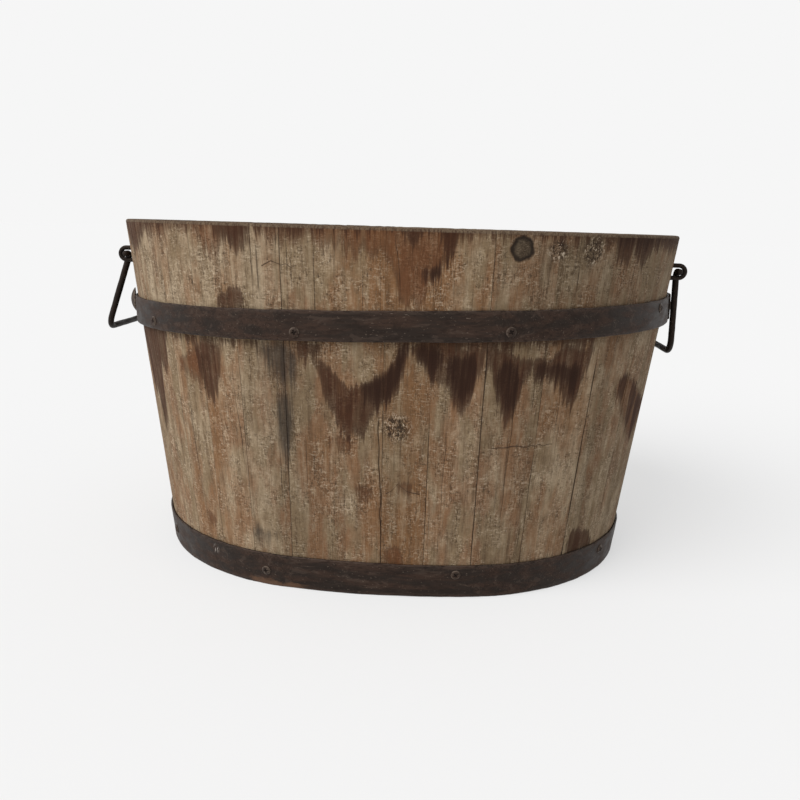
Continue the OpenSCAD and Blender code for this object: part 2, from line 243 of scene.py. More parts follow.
# %% Brown stains below the hoop
BROWN_BELOW = {
    "left strip": [
        (202, 254, 240), (204.5, 254, 212), (206.5, 254, 226), (208.5, 254, 176), (210.5, 254, 164),
        (212, 254, 186), (214, 254, 142), (216, 254, 134), (217.6, 254, 150), (218.8, 254, 200),
        (220.4, 254, 212), (222.2, 254, 186), (223.6, 254, 214), (225.4, 254, 242),
    ],
    "left drip": [
        (238, 240, 206), (238.8, 244, 190), (240.4, 244, 183), (242.4, 244, 184), (243.8, 244, 194),
        (244.8, 242, 222),
    ],
    "spikes": [
        (262.3, 250, 243), (262.7, 250, 226), (263, 250, 240), (263.4, 250, 222), (264, 250, 238),
        (264.4, 250, 233), (264.8, 244, 240),
    ],
    "vee": [
        (264.2, 241, 236), (265.1, 230, 188), (266.1, 220, 171), (267.1, 208, 159), (268, 214, 162),
        (268.7, 215, 168), (269.5, 217, 190), (270.7, 228, 196), (271.2, 246, 220),
        (271.7, 252, 246),
    ],
    "drips a": [
        (272.1, 254, 249), (272.6, 254, 233), (273.1, 254, 228), (273.6, 252, 238),
        (274.1, 250, 213), (274.6, 246, 201), (275, 248, 224),
    ],
    "drips b": [
        (274.7, 255, 240), (275.2, 254, 220), (275.6, 252, 200), (276.1, 250, 191),
        (276.7, 250, 188), (277.3, 249, 192), (277.7, 250, 208), (278.1, 254, 240),
    ],
    "drips c": [
        (278.6, 255, 248), (280, 252, 226), (281.4, 250, 202), (282.8, 248, 184), (284.2, 244, 175),
        (285.6, 242, 176), (286.6, 240, 190), (287.3, 236, 214), (287.9, 232, 228),
    ],
    "drips d": [
        (286.7, 240, 231), (289, 240, 224), (293, 237, 216), (296.7, 252, 213), (298.2, 254, 199),
        (300, 251, 191), (301.8, 248, 192), (303.2, 247, 203), (304.2, 252, 226), (305.2, 254, 247),
    ],
    "right streak a": [(318, 212, 200), (319.6, 222, 178), (321.4, 216, 196)],
    "right streak b": [(325, 206, 172), (327, 208, 150), (329, 200, 170)],
    "right streak c": [(331, 192, 160), (333.6, 188, 138), (337, 184, 156), (341, 178, 170)],
    "right foot": [
        (307.8, 40, 34), (309, 66, 26), (310.4, 58, 26), (312, 62, 26), (314, 52, 26),
        (316, 60, 26), (318.5, 46, 28), (320, 38, 34),
    ],
    # The two hoop shades are partly a brown stain line and partly painted shadow under the upper
    # hoop.
    "hoop shade left": [(228, 244, 241), (240, 246, 240), (256, 248, 244)],
    "hoop shade": [
        (270.5, 260, 250), (273, 260, 244), (276, 260, 243), (280, 260, 246), (283.5, 260, 242),
        (285, 260, 252), (290, 260, 254), (296, 262, 249), (301, 262, 245), (306, 262, 254),
    ],
}
BROWN_STAINS = {**BROWN_AT_RIM, **BROWN_BELOW}
print("all brown stains:", len(BROWN_STAINS))

# %% [markdown]
# Where water stood longest, a brown stain has a darker heart, and in a few places the wood only
# went grey.

# %% Dark and grey stains
DARK_STAINS = {
    "vee heart": [
        (268.1, 214, 200), (268.9, 217, 190), (270.6, 232, 193), (271.4, 250, 215),
        (272.1, 256, 244),
    ],
    "drip heart b": [
        (275.4, 242, 214), (276, 242, 201), (276.6, 242, 197), (277.2, 242, 200), (277.7, 242, 216),
    ],
    "drip heart c": [
        (281.2, 238, 214), (282.6, 238, 195), (284.2, 236, 185), (285.4, 233, 187),
        (286.4, 231, 204),
    ],
    "drip heart d": [
        (290.5, 233, 225), (293, 234, 219), (296, 236, 219), (300.4, 232, 204), (302, 230, 216),
    ],
    "right rim heart": [
        (307, RIM, 346), (309.4, RIM, 332), (312, RIM, 344), (316, RIM, 330), (320, RIM, 344),
        (340, RIM, 346),
    ],
    "loop heart": [(273.2, 313, 309), (274.1, 315, 310.5), (274.6, 324, 314), (275, 332, 326)],
    "drip heart a": [(272.4, 250, 244), (273.1, 250, 230), (274.2, 248, 216), (274.8, 246, 226)],
}
GREY_STAINS = {
    "low grey": [(249.6, 52, 52), (251.8, 66, 44), (254.4, 54, 48), (256, 60, 52), (258, 55, 55)],
    "seam grey": [(259.6, 200, 150), (260.8, 205, 110), (261.9, 205, 140)],
    "grey patch": [
        (255.4, 245, 234), (257, 248, 220), (259, 248, 209), (261, 250, 202), (262, 248, 200),
        (262.6, 240, 216),
    ],
}
print("dark and grey stains:", len(DARK_STAINS), len(GREY_STAINS))

# %% [markdown]
# The ends and the back were wet as well. There nothing has to match a certain drip, so rows of
# drips are drawn by chance, always the same ones for the same start of the random numbers.

# %% Drips round the ends and the back
FAR_STRETCHES = [(-13, 34), (36, 70), (92, 134), (150, 197)]
HOOP_TOP, HOOP_FOOT = 262, 254
LONGEST_WASH, LONGEST_DRIP, LONGEST_EDGE = 46, 84, 14


def run_of_drips(rng, start, end, top, foot, longest):
    """Stations for a row of drips between two directions, each its own length below a foot."""
    stations = []
    direction = start
    while direction < end:
        drop = longest * rng.random() ** 1.7
        step = rng.uniform(1.6, 5.2)
        stations.append((direction, top, foot - 2))
        stations.append((direction + step * 0.4, top, foot - 3 - drop))
        stations.append((direction + step * 0.6, top, foot - 3 - 0.8 * drop))
        direction += step
    return stations + [(direction, top, foot - 2)]


drip_rng = np.random.default_rng(11)
for turn, (start, end) in enumerate(FAR_STRETCHES):
    wash = run_of_drips(drip_rng, start, end, RIM, tub_height, LONGEST_WASH)
    drips = run_of_drips(drip_rng, start + 8, end - 7, HOOP_TOP, HOOP_FOOT, LONGEST_DRIP)
    edge = run_of_drips(drip_rng, start, end, RIM, tub_height, LONGEST_EDGE)
    LIGHT_STAINS["far rim %d" % turn] = wash
    BROWN_STAINS["far hoop %d" % turn] = drips
    BROWN_STAINS["far rim line %d" % turn] = edge
STAINS = (BROWN_STAINS, DARK_STAINS, LIGHT_STAINS, GREY_STAINS)
print("stains drawn:", sum(len(group) for group in STAINS))

# %% [markdown]
# The finish needs one number for each place: how far inside a stain it lies. The distance to the
# upper edge counts for more than the one to the lower edge, because water starts sharply and fades
# out below. The average over a few places side by side rounds off the corners of the stations.

# %% How far a place lies inside a stain
SPREAD = (-4, 0, 4)
DEEPEST = 30
TOP_STEEPNESS, SIDE_STEEPNESS = 2.2, 4


def stain_reach(stains, direction, height, radius):
    """Millimetres that each place lies inside the nearest of the stains, spread out sideways."""
    total = np.zeros(direction.shape)
    for sideways in SPREAD:
        reach = np.full(direction.shape, -float(DEEPEST))
        spot = direction + sideways / radius * 180 / math.pi
        for stations in stains.values():
            angles = np.array([s[0] for s in stations], float)
            here = turned(spot, angles.mean())
            top = np.interp(here, angles, [s[1] for s in stations])
            bottom = np.interp(here, angles, [s[2] for s in stations])
            aside = arc_length(np.maximum(angles[0] - here, here - angles[-1]), radius)
            inside = np.minimum(TOP_STEEPNESS * (top - height), height - bottom)
            beside = np.minimum(inside, -SIDE_STEEPNESS * aside)
            reach = np.maximum(reach, np.where(aside > 0, beside, inside))
        total += np.clip(reach, -DEEPEST, DEEPEST)
    return total / len(SPREAD)


sample = stain_reach(DARK_STAINS, np.array([270.6]), np.array([212.0]), side_radius)
print("the heart of the big stain lies inside by, mm:", round(float(sample[0])))

# %% [markdown]
# ## Cracks, knots and joints
# Drying opened long cracks along the grain, a few short ones across it, and some of the joints.
# Knots are hard discs in the wood, and burrs are spots where the grain is torn up. Each is a place
# on the wall with its size. They could be cut with a Boolean, but a crack a millimetre wide is
# easier to press into the face of the stave.

# %% Places of the cracks and knots
CRACKS = [
    (260.9, 349, 260.7, 312, 0.5), (266.0, 352, 265.9, 306, 0.5), (270.7, 345, 271.4, 281, 0.3),
    (275.5, 174, 275.4, 76, 0.4), (297.7, 325, 297.7, 286, 0.4), (248.2, 190, 249.4, 118, 0.5),
    (269.6, 186, 270.1, 40, 0.7), (286.2, 210, 285.4, 60, 0.4), (232, 180, 232.6, 60, 0.4),
    (20, 340, 20.4, 190, 0.6), (64, 230, 63.6, 70, 0.5), (112, 345, 112.5, 240, 0.6),
    (160, 200, 160.3, 60, 0.5),
]
CROSS_CRACKS = [
    [(281.6, 155.5), (286, 156.5), (290, 155), (297, 157)],
    [(270.5, 107), (271.4, 118), (272.2, 112), (273.3, 108)],
    [(257.6, 315), (259.5, 318), (262.4, 315)],
]
KNOTS = [(284.1, 335.5, 9.3), (41, 205, 6)]
BURRS = [(291.9, 335, 10), (300.6, 335.5, 13), (271.2, 173, 14), (109, 120, 12), (168, 330, 10)]
print("cracks, knots and burrs:", len(CRACKS) + len(CROSS_CRACKS), len(KNOTS), len(BURRS))

# %% [markdown]
# Nothing on old wood is even, so most sizes below wander a little. A drift is the plainest source
# of that: random values on a lattice, blended smoothly in between. Because it is worked out here
# and not by a texture, it can move points as well as tint them.

# %% Smooth chance and smooth steps
LATTICE = 64


def drift(across, along, seed):
    """Smooth random values between 0 and 1 over a plane, the same for the same seed."""
    lattice = np.random.default_rng(seed).random((LATTICE, LATTICE))
    i, j = np.floor(across).astype(int), np.floor(along).astype(int)
    u, v = across - i, along - j
    u, v = u * u * (3 - 2 * u), v * v * (3 - 2 * v)
    i, j, after_i, after_j = (k % LATTICE for k in (i, j, i + 1, j + 1))
    low = lattice[i, j] * (1 - u) + lattice[after_i, j] * u
    high = lattice[i, after_j] * (1 - u) + lattice[after_i, after_j] * u
    return low * (1 - v) + high * v


def eased(value, low, high):
    """A smooth step from 0 to 1 between two values."""
    t = np.clip((value - low) / (high - low), 0, 1)
    return t * t * (3 - 2 * t)


def rounding(edge, reach):
    """How much a rounded edge takes off: all of it at the edge, and nothing from its reach on."""
    return 1 - np.sqrt(np.clip(1 - np.clip(1 - edge / reach, 0, 1) ** 2, 0, 1))


print("a drift at three places:", drift(np.array([0.2, 0.7, 1.2]), np.zeros(3), 5).round(2))

# %% [markdown]
# Most joints on the front are tight, and a few stand open below a certain height. Each open joint
# has its rounding above and below that height. Staves swell when they are wet, so each worn stave
# is a hair wider than the plain one, and shut joints look shut.

# %% The joints between the staves
JOINT_SWELL = 0.16
SHUT_IN_FRONT, SHUT_BEHIND = (0.1, 0.15, 230), (0.25, 0.35, 230)
SEEN_START, SEEN_END, SAME_JOINT = 200, 345, 0.5
OPEN_JOINTS = {
    239: (0.1, 0.15, 230), 250.1: (0.1, 0.3, 225), 261.5: (0.6, 0.55, 215),
    270: (0.05, 0.5, 192), 274: (0.05, 0.4, 176), 278.5: (0.3, 0.65, 245),
    292.5: (0.08, 0.35, 220), 307: (0.12, 0.9, 232), 322: (0.35, 0.4, 220),
}


def joint_ease(direction, height):
    """How far a stave's edge is rounded at a joint, above and below a height."""
    above, below, change = SHUT_BEHIND
    if SEEN_START < direction % 360 < SEEN_END:
        above, below, change = SHUT_IN_FRONT
    for at, eases in OPEN_JOINTS.items():
        if abs(turned(direction, at) - at) < SAME_JOINT:
            above, below, change = eases
    return below + (above - below) * eased(height, change - 14, change + 10)


print("joints with an ease of their own:", len(OPEN_JOINTS))

# %% [markdown]
# The staves didn't age alike. Some are bleached and grey and some kept their orange heart. The right
# end is darker, partly from weather and partly as painted shade on the side away from the light.
# Three numbers per place say how pale, how warm and how dark the wood is, the last partly painted
# shade, set for the wall above the upper hoop and for the wall below it.

# %% The tone of the wall
UPPER_TONES = [
    (200, 0.5, 0.1, 0.0), (222, 0.62, 0.1, 0.0), (240, 0.56, 0.2, 0.0), (256, 0.62, 0.05, 0.03),
    (262, 0.45, 0.2, 0.06), (266, 0.3, 0.55, 0.0), (270, 0.15, 0.75, 0.0), (276, 0.22, 0.5, 0.03),
    (286, 0.25, 0.35, 0.14), (296, 0.2, 0.25, 0.25), (306, 0.2, 0.2, 0.26), (330, 0.3, 0.1, 0.2),
]
LOWER_TONES = [
    (200, 0.4, 0.2, 0.0), (240, 0.35, 0.35, 0.0), (256, 0.4, 0.0, 0.1), (263, 0.1, 0.25, 0.28),
    (267, 0.25, 0.3, 0.12), (272, 0.06, 0.8, 0.15), (276.5, 0.35, 0.1, 0.04), (284, 0.2, 0.3, 0.05),
    (293, 0.2, 0.35, 0.08), (300, 0.65, 0.35, 0.0), (305, 0.65, 0.3, 0.0), (311, 0.2, 0.35, 0.26),
    (316, 0.3, 0.2, 0.1), (330, 0.35, 0.1, 0.1),
]
HOOP_BLEND = (240, 268)


def stave_weather_and_shade(direction, height, rng):
    """How pale, warm and dark the wood is at each place, the dark partly painted shade, with each
    stave a little different.
    """
    tone = np.zeros(direction.shape + (3,))
    upper = eased(height, *HOOP_BLEND)
    here = np.mod(direction, 360)
    for rows, share in ((UPPER_TONES, upper), (LOWER_TONES, 1 - upper)):
        at = [row[0] for row in rows]
        for i in range(3):
            tone[..., i] += np.interp(here, at, [row[1 + i] for row in rows], period=360) * share
    return np.clip(tone + rng.uniform(-0.1, 0.1, 3), 0, 1)


print("tones set above and below the hoop:", len(UPPER_TONES), len(LOWER_TONES))

# %% [markdown]
# ## Worn staves
# Each plain stave gives its place to a worn one with the same section, groove and joints. Its face
# is a fine grid, so that the raised grain, the eased edges, the open cracks and the knots are real
# shape that catches light from any side. A displacement would need a far finer mesh for the same
# edges. All wear goes inwards, as wear does, so the tub keeps its size.

# %% The section of a stave
FACE_STEP, FACE_END, INSIDE_END, INSIDE_ROWS = 3.4, 3, 8, 14
RIM_SECTION = [(0.5, 2.4), (1.1, 0.8), (2.6, 0.1), (6, 0), (11, 0), (16, 0), (18.6, 0.4), (20.2, 2)]
BOTTOM_TOP, CHIME, CROZE_DEPTH = 46, 28, 6


def inset(height):
    """How far the wall's face is drawn in from the rim's outline at a height."""
    return lean * (tub_height - height)


def stave_section():
    """The section as (inset, height): up the face, over the rim, and down inside to the foot."""
    face = [(inset(z), z) for z in np.arange(0, tub_height - FACE_END, FACE_STEP)]
    rim = [(inwards, tub_height - drop) for inwards, drop in RIM_SECTION]
    inside_heights = np.linspace(tub_height - INSIDE_END, BOTTOM_TOP, INSIDE_ROWS)
    inside = [(inset(z) + wall_run, z) for z in inside_heights]
    croze = inset(CHIME) + wall_run - CROZE_DEPTH
    groove = [(croze, BOTTOM_TOP), (croze, CHIME), (inset(CHIME) + wall_run, CHIME)]
    foot = [(inset(0) + wall_run, 0), (inset(0) + wall_run / 2, 0)]
    return np.array(face + rim + inside + groove + foot), len(face), len(face) + len(rim)


print("points round the section of a stave:", len(stave_section()[0]))

# %% [markdown]
# The grid has its columns side by side across the stave, close together where the edges round off.
# Only the front gets the finest columns, since the cracks that have to match are there.

# %% The grid of a stave
EDGE_COLUMNS = np.array([0, 0.25, 0.6, 1.1, 1.9, 3.0])
FINE_COLUMN, PLAIN_COLUMN = 1.1, 2.6
FRONT_START, FRONT_END = 196, 350


def stave_columns(width, fine):
    """Places across a stave, closer together at its two edges."""
    edge = EDGE_COLUMNS[-1]
    steps = max(4, int((width - 2 * edge) / fine))
    between = np.linspace(edge, width - edge, steps + 1)[1:-1]
    return np.concatenate([EDGE_COLUMNS, between, width - EDGE_COLUMNS[::-1]])


class StaveGrid:
    """The places on one stave, each with how far across, how high and in which direction it is."""

    def __init__(self, name, seed):
        arc, start, end = spans[name]
        self.x, self.y, self.radius = arc[:3]
        swelling = JOINT_SWELL / self.radius * 180 / math.pi
        self.seed, self.start, self.end = seed, start - swelling, end + swelling
        self.middle = (self.start + self.end) / 2
        self.width = arc_length(self.end - self.start, self.radius)
        section, face_end, rim_end = stave_section()
        in_front = FRONT_START < self.middle < FRONT_END
        columns = stave_columns(self.width, FINE_COLUMN if in_front else PLAIN_COLUMN)
        self.across, self.inset = np.meshgrid(columns, section[:, 0], indexing="ij")
        self.height = np.broadcast_to(section[:, 1], self.across.shape)
        self.direction = self.start + self.across / self.width * (self.end - self.start)
        self.edge = np.minimum(self.across, self.width - self.across)
        order = np.broadcast_to(np.arange(len(section)), self.across.shape)
        self.on_face, self.inside = order < face_end, order >= rim_end
        self.on_rim = ~self.on_face & ~self.inside


first_grid = StaveGrid(stave_names[0], 0)
print("places on the first stave:", first_grid.across.size)

# %% [markdown]
# ### Wear at the joints and the cracks
# Each kind of wear is worked out for the whole grid at once: how many millimetres it takes off, and
# what the finish should know about it, such as the distance to the nearest crack.

# %% Wear at the joints and along the cracks
EASE_LEAST, EASE_SWING, EASE_REACH = 0.55, 0.9, 1.7
CRACK_FAR, CRACK_DEPTH, CRACK_WANDER, CRACK_FADE = 9, 1.2, 2.2, 30


def joint_wear(grid):
    """How far the edges are rounded at the two joints, and how much that takes off."""
    left, right = (joint_ease(at, grid.height) for at in (grid.start, grid.end))
    ease = np.where(grid.across < grid.width / 2, left, right)
    sway = drift(grid.height / 32, np.round(grid.direction), 5)
    ease = ease * (EASE_LEAST + EASE_SWING * sway)
    return ease, ease * rounding(grid.edge, EASE_REACH * ease)


def long_crack_wear(grid):
    """What cracks along the grain take off, how far aside the nearest is, and how open."""
    wear, opening = np.zeros(grid.across.shape), np.zeros(grid.across.shape)
    nearest = np.full(grid.across.shape, float(CRACK_FAR))
    for top_at, top, foot_at, foot, open_width in CRACKS:
        if grid.start < turned((top_at + foot_at) / 2, grid.middle) < grid.end:
            share = np.clip((top - grid.height) / (top - foot), 0, 1)
            line = turned(top_at + (foot_at - top_at) * share, grid.middle)
            wander = CRACK_WANDER * (drift(grid.height / 17, grid.height * 0, grid.seed + 3) - 0.5)
            aside = arc_length(grid.direction - line, grid.radius) + wander
            below_top = eased(-grid.height, -top - 4, -top + 14)
            fading = eased(grid.height, foot, foot + CRACK_FADE) * below_top
            wear += CRACK_DEPTH * open_width * fading * np.exp(-(aside**2))
            nearer = np.abs(aside) < np.abs(nearest)
            nearest = np.where(nearer, aside, nearest)
            opening = np.where(nearer, fading * open_width, opening)
    return wear, nearest, opening


deepest = float(long_crack_wear(first_grid)[0].max())
print("deepest crack on the first stave, mm:", round(deepest, 2))

# %% [markdown]
# Cracks across the grain follow a bent line. A knot has a furrow round it and lies a little low,
# and a burr is a hollow, which later gets torn unevenly.

# %% Wear across the grain, at knots and at burrs
FAR = 40
CROSS_WEAR, CROSS_WANDER, CROSS_HALF_WIDTH = 0.7, 2.4, 2
FURROW_DEPTH, FURROW_HALF_WIDTH, KNOT_DIP, BURR_DEPTH = 0.9, 1.6, 0.5, 0.9


def cross_crack_wear(grid):
    """What cracks across the grain take off, and how far above the nearest each place is."""
    wear, nearest = np.zeros(grid.across.shape), np.full(grid.across.shape, float(FAR))
    for bends in CROSS_CRACKS:
        at, heights = zip(*bends)
        here = turned(grid.direction, at[1])
        beyond = arc_length(np.maximum(at[0] - here, here - at[-1]), grid.radius)
        wander = CROSS_WANDER * (drift(grid.across / 5, grid.across * 0, 77) - 0.5)
        off = grid.height - np.interp(here, at, heights) + wander
        wear += CROSS_WEAR * np.exp(-((off / CROSS_HALF_WIDTH) ** 2)) * (beyond < 0)
        near = (beyond < 2) & (np.abs(off) < np.abs(nearest))
        nearest = np.where(near, off, nearest)
    return wear, nearest


def spot_wear(grid, spots, taken):
    """What round spots take off, and how far off the nearest is, in its own size."""
    wear, nearest = np.zeros(grid.across.shape), np.full(grid.across.shape, float(FAR))
    for at, height, size in spots:
        aside = arc_length(turned(grid.direction, at) - at, grid.radius)
        away = np.hypot(aside, grid.height - height)
        nearest = np.minimum(nearest, away / size)
        wear += taken(away, size)
    return wear, nearest


def knot_furrow(away, size):
    """What a knot takes off, by the distance from its middle."""
    furrow = FURROW_DEPTH * np.exp(-(((away - size) / FURROW_HALF_WIDTH) ** 2))
    return furrow + KNOT_DIP * eased(-away, -size, -size / 2)


def burr_hollow(away, size):
    """What a burr takes off at the most, by the distance from its middle."""
    return BURR_DEPTH * eased(-away, -size, 0)


size = KNOTS[0][2]
print("depth in and round the first knot, mm:", knot_furrow(np.array([0, size]), size).round(2))

# %% [markdown]
# ### Marks for the finish
# What the finish has to know of each place is kept on the grid's points as named marks, three
# numbers each. An image would do the same, but the staves would have to be unwrapped for it, and
# sharp marks would blur. The grain starts at another place on each stave, so no two are alike.

# %% Marks on the points of a stave
NO_STAIN = -60
SHIFT_ACROSS, SHIFT_ALONG, SHIFT_THROUGH = 300, 900, 37


def stave_marks(grid, cracked, knotted):
    """The marks of all places on a stave; inside the tub there are only the joints."""
    rng = np.random.default_rng(grid.seed)
    across = grid.across + SHIFT_ACROSS * rng.random()
    height = grid.height + SHIFT_ALONG * rng.random()
    through = grid.inset + SHIFT_THROUGH * grid.seed
    spot = (grid.direction, grid.height, grid.radius)
    reaches = [np.where(grid.inside, NO_STAIN, stain_reach(group, *spot)) for group in STAINS]
    inside = grid.inside[..., None]
    plain = np.stack([CRACK_FAR + 0 * grid.edge, 0 * grid.edge, 0.5 - grid.edge], axis=-1)
    marks = {
        "grain_place": np.stack([across, through, height], axis=-1),
        "stain_reach": np.stack(reaches[:3], axis=-1),
        "grey_reach": np.stack([reaches[3], grid.inside * 1.0, grid.on_rim * 1.0], axis=-1),
        "crack_line": np.where(inside, plain, cracked),
        "knot_ring": np.where(inside, FAR, knotted),
        "weather": stave_weather_and_shade(grid.direction, grid.height, rng),
    }
    return {mark: values.reshape(-1, 3) for mark, values in marks.items()}


print("kinds of stain to mark:", len(STAINS))

# %% [markdown]
# ### Grids into pieces
# Every new piece of this tub is a grid of closed loops: the section of a stave or a hoop, or the
# rings round a wire or a screw. One helper joins the loops with faces, and another makes the piece,
# lets it ride on its body, and takes the plain piece out of sight.

# %% Make a piece from grids
def grid_faces(columns, loops, ring=False):
    """Faces between columns that are closed loops; a ring joins its last column to its first."""
    here = np.arange(columns * loops).reshape(columns, loops)
    after, above = np.roll(here, -1, axis=0), np.roll(here, -1, axis=1)
    quads = np.stack([here, after, np.roll(after, -1, axis=1), above], axis=-1)
    if ring:
        return quads.reshape(-1, 4).tolist()
    return quads[:-1].reshape(-1, 4).tolist() + [here[0].tolist(), here[-1][::-1].tolist()]


def make_piece(name, shapes, node, body="tub"):
    """One piece from closed shapes, each given as points in millimetres, faces and marks."""
    points = np.concatenate([shape[0] for shape in shapes])
    faces, count = [], 0
    for shape in shapes:
        faces += [[count + corner for corner in face] for face in shape[1]]
        count += len(shape[0])
    mesh = bpy.data.meshes.new(name)
    mesh.from_pydata((points * MM).tolist(), [], faces)
    for mark in shapes[0][2]:
        values = np.concatenate([shape[2][mark] for shape in shapes])
        layer = mesh.attributes.new(mark, "FLOAT_VECTOR", "POINT")
        layer.data.foreach_set("vector", np.ascontiguousarray(values, np.float32).ravel())
    mesh.polygons.foreach_set("use_smooth", np.ones(len(faces), bool))
    mesh.update()
    piece = bpy.data.objects.new(name, mesh)
    bpy.context.scene.collection.objects.link(piece)
    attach(piece, body)
    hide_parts(node)
    return piece


print("faces of a ring of 3 by 4:", len(grid_faces(3, 4, ring=True)))

# %% [markdown]
# ### All the wear together
# A worn stave is its grid, drawn in by all the wear: the raised grain, the joints, the cracks, the
# knots and the burrs on the face, and the dips on the rim.

# %% Make all the staves
GRAIN_RELIEF = [(0.32, 3.1, 70), (0.22, 1.3, 26)]
INSIDE_EASE, INSIDE_REACH = 0.7, 1.7
RIM_EASE, RIM_REACH, RIM_DIP = 0.3, 1.2, 0.5


def worn_stave(name, seed):
    """The worn stave that takes the place of a plain one."""
    grid = StaveGrid(name, seed)
    ease, wear = joint_wear(grid)
    for i, (depth, wide, long) in enumerate(GRAIN_RELIEF):
        wear = wear + depth * drift(grid.across / wide, grid.height / long, seed + i)
    crack, crack_aside, crack_open = long_crack_wear(grid)
    cross, cross_off = cross_crack_wear(grid)
    knot, knot_away = spot_wear(grid, KNOTS, knot_furrow)
    burr, burr_away = spot_wear(grid, BURRS, burr_hollow)
    burr = burr * drift(grid.across / 2.2, grid.height / 2.6, seed + 4)
    wear = np.where(grid.on_face, wear + crack + cross + knot + burr, 0)
    wear = wear - INSIDE_EASE * grid.inside * rounding(grid.edge, INSIDE_REACH)
    wear = wear + np.where(grid.on_rim, RIM_EASE * ease * (grid.edge < RIM_REACH), 0)
    dips = RIM_DIP * drift(grid.across / 6, grid.across * 0, seed + 5) ** 2
    sunk = np.where(grid.on_rim, dips, 0)
    out, turn = grid.radius - grid.inset - wear, np.radians(grid.direction)
    points = [grid.x + out * np.cos(turn), grid.y + out * np.sin(turn), grid.height - sunk]
    cracked = np.stack([crack_aside, crack_open, ease - grid.edge], axis=-1)
    knotted = np.stack([knot_away, burr_away, cross_off], axis=-1)
    marks = stave_marks(grid, cracked, knotted)
    shape = (np.stack(points, axis=-1).reshape(-1, 3), grid_faces(*grid.across.shape), marks)
    return make_piece("worn_" + name, [shape], name)


worn_staves = [worn_stave(name, 100 + 7 * i) for i, name in enumerate(stave_names)]
print("worn staves:", len(worn_staves), "faces:", sum(len(s.data.polygons) for s in worn_staves))

# %% [markdown]
# ## Finishes
# A finish is a small graph of shader nodes. It could be wired by hand in the node editor, but as
# code it can be read from top to bottom, like the coats that a painter lays. First come the moves
# that any graph needs, also the one of the sky: add a node, fill a socket, reckon, make a mask.

# %% Moves for any graph of nodes
class Mixture:
    """A graph of shader nodes that is being wired."""

    def __init__(self, tree):
        self.tree = tree

    def node(self, kind, **settings):
        made = self.tree.nodes.new("ShaderNode" + kind)
        for key, value in settings.items():
            setattr(made, key, value)
        return made

    def put(self, socket, value):
        if isinstance(value, bpy.types.NodeSocket):
            self.tree.links.new(value, socket)
        else:
            socket.default_value = value

    def math(self, operation, first, second=0.0):
        made = self.node("Math", operation=operation)
        self.put(made.inputs[0], first)
        self.put(made.inputs[1], second)
        return made.outputs[0]

    def times(self, first, second):
        return self.math("MULTIPLY", first, second)

    def total(self, first, *others):
        for other in others:
            first = self.math("ADD", first, other)
        return first

    def mask(self, value, low, high, most=1.0):
        made = self.node("MapRange", interpolation_type="SMOOTHSTEP")
        self.put(made.inputs["Value"], value)
        made.inputs["From Min"].default_value = low
        made.inputs["From Max"].default_value = high
        made.inputs["To Max"].default_value = most
        return made.outputs[0]

    def tell(self, step):
        print(step + ":", len(self.tree.nodes), "nodes so far")


print("moves:", ", ".join(move for move in vars(Mixture) if not move.startswith("_")))


# %% [markdown]
# A painter's moves come next: fetch a mark from the points, stretch a mottle along the grain, sway
# a value to and fro with it, and lay one colour over another. Colours are written as read from a
# swatch, since that is how a maker compares them.

# %% Moves of a painter
def paint(red, green, blue):
    """A colour as read from a swatch (0 to 255), made linear."""
    parts = [c / 255 for c in (red, green, blue)]
    linear = (c / 12.92 if c <= 0.04045 else ((c + 0.055) / 1.055) ** 2.4 for c in parts)
    return tuple(linear) + (1.0,)


class Coats(Mixture):
    """A graph of nodes that lays coats of colour by the marks on the points."""

    def place(self, name):
        return self.node("Attribute", attribute_name=name).outputs["Vector"]

    def split(self, vector):
        parts = self.node("SeparateXYZ")
        self.put(parts.inputs[0], vector)
        return parts.outputs

    def mark(self, name):
        return self.split(self.place(name))

    def mottle(self, place, size, detail=2.0, rough=0.5, warp=0.0):
        stretched = self.node("VectorMath", operation="DIVIDE")
        self.put(stretched.inputs[0], place)
        stretched.inputs[1].default_value = size
        noise = self.node("TexNoise")
        self.put(noise.inputs["Vector"], stretched.outputs[0])
        noise.inputs["Scale"].default_value = 1
        noise.inputs["Detail"].default_value = detail
        noise.inputs["Roughness"].default_value = rough
        noise.inputs["Distortion"].default_value = warp
        return noise.outputs[0]

    def sway(self, mottle, width):
        return self.times(self.math("SUBTRACT", mottle, 0.5), width)

    def lay(self, amount, under, over, blend="MIX"):
        made = self.node("Mix", data_type="RGBA", blend_type=blend)
        self.put(made.inputs[0], amount)
        self.put(made.inputs[6], under)
        self.put(made.inputs[7], over)
        return made.outputs[2]

    def coats(self, colour, rows, share=None):
        """Lays a tint for each row of (mottle, low, high, most, tint), within a share if given."""
        for mottle, low, high, most, tint in rows:
            amount = self.mask(mottle, low, high, most)
            colour = self.lay(amount if share is None else self.times(amount, share), colour, tint)
        return colour


print("a mid grey swatch is, made linear:", round(paint(128, 128, 128)[0], 3))


# %% Start a finish
class Finish(Coats):
    """A material that is being mixed, from bare surface to the pieces that it covers."""

    def __init__(self, name, roughness, gloss):
        self.material = bpy.data.materials.new(name)
        self.material.use_nodes = True
        super().__init__(self.material.node_tree)
        self.surface = self.tree.nodes["Principled BSDF"]
        self.surface.inputs["Roughness"].default_value = roughness
        self.surface.inputs["Specular IOR Level"].default_value = gloss

    def relief(self, height, depth, strength):
        made = self.node("Bump")
        made.inputs["Strength"].default_value = strength
        made.inputs["Distance"].default_value = depth * MM
        self.put(made.inputs["Height"], height)
        self.put(self.surface.inputs["Normal"], made.outputs[0])

    def cover(self, colour, pieces=()):
        """Gives the finish its colour and lays it on pieces."""
        self.put(self.surface.inputs["Base Color"], colour)
        for piece in pieces:
            piece.data.materials.append(self.material)


wood = Finish("weathered wood", 0.9, 0.15)
wood.tell("bare surface")

# %% [markdown]
# ## Weathered wood
# Bare softwood that has stood wet greys on top, keeps warm tan below, and shows its fibres as fine
# lines along the stave. The finish mixes tan, pale grey and orange by the tone of each place, and
# then draws fibres and streaks with mottles that are stretched along the grain.

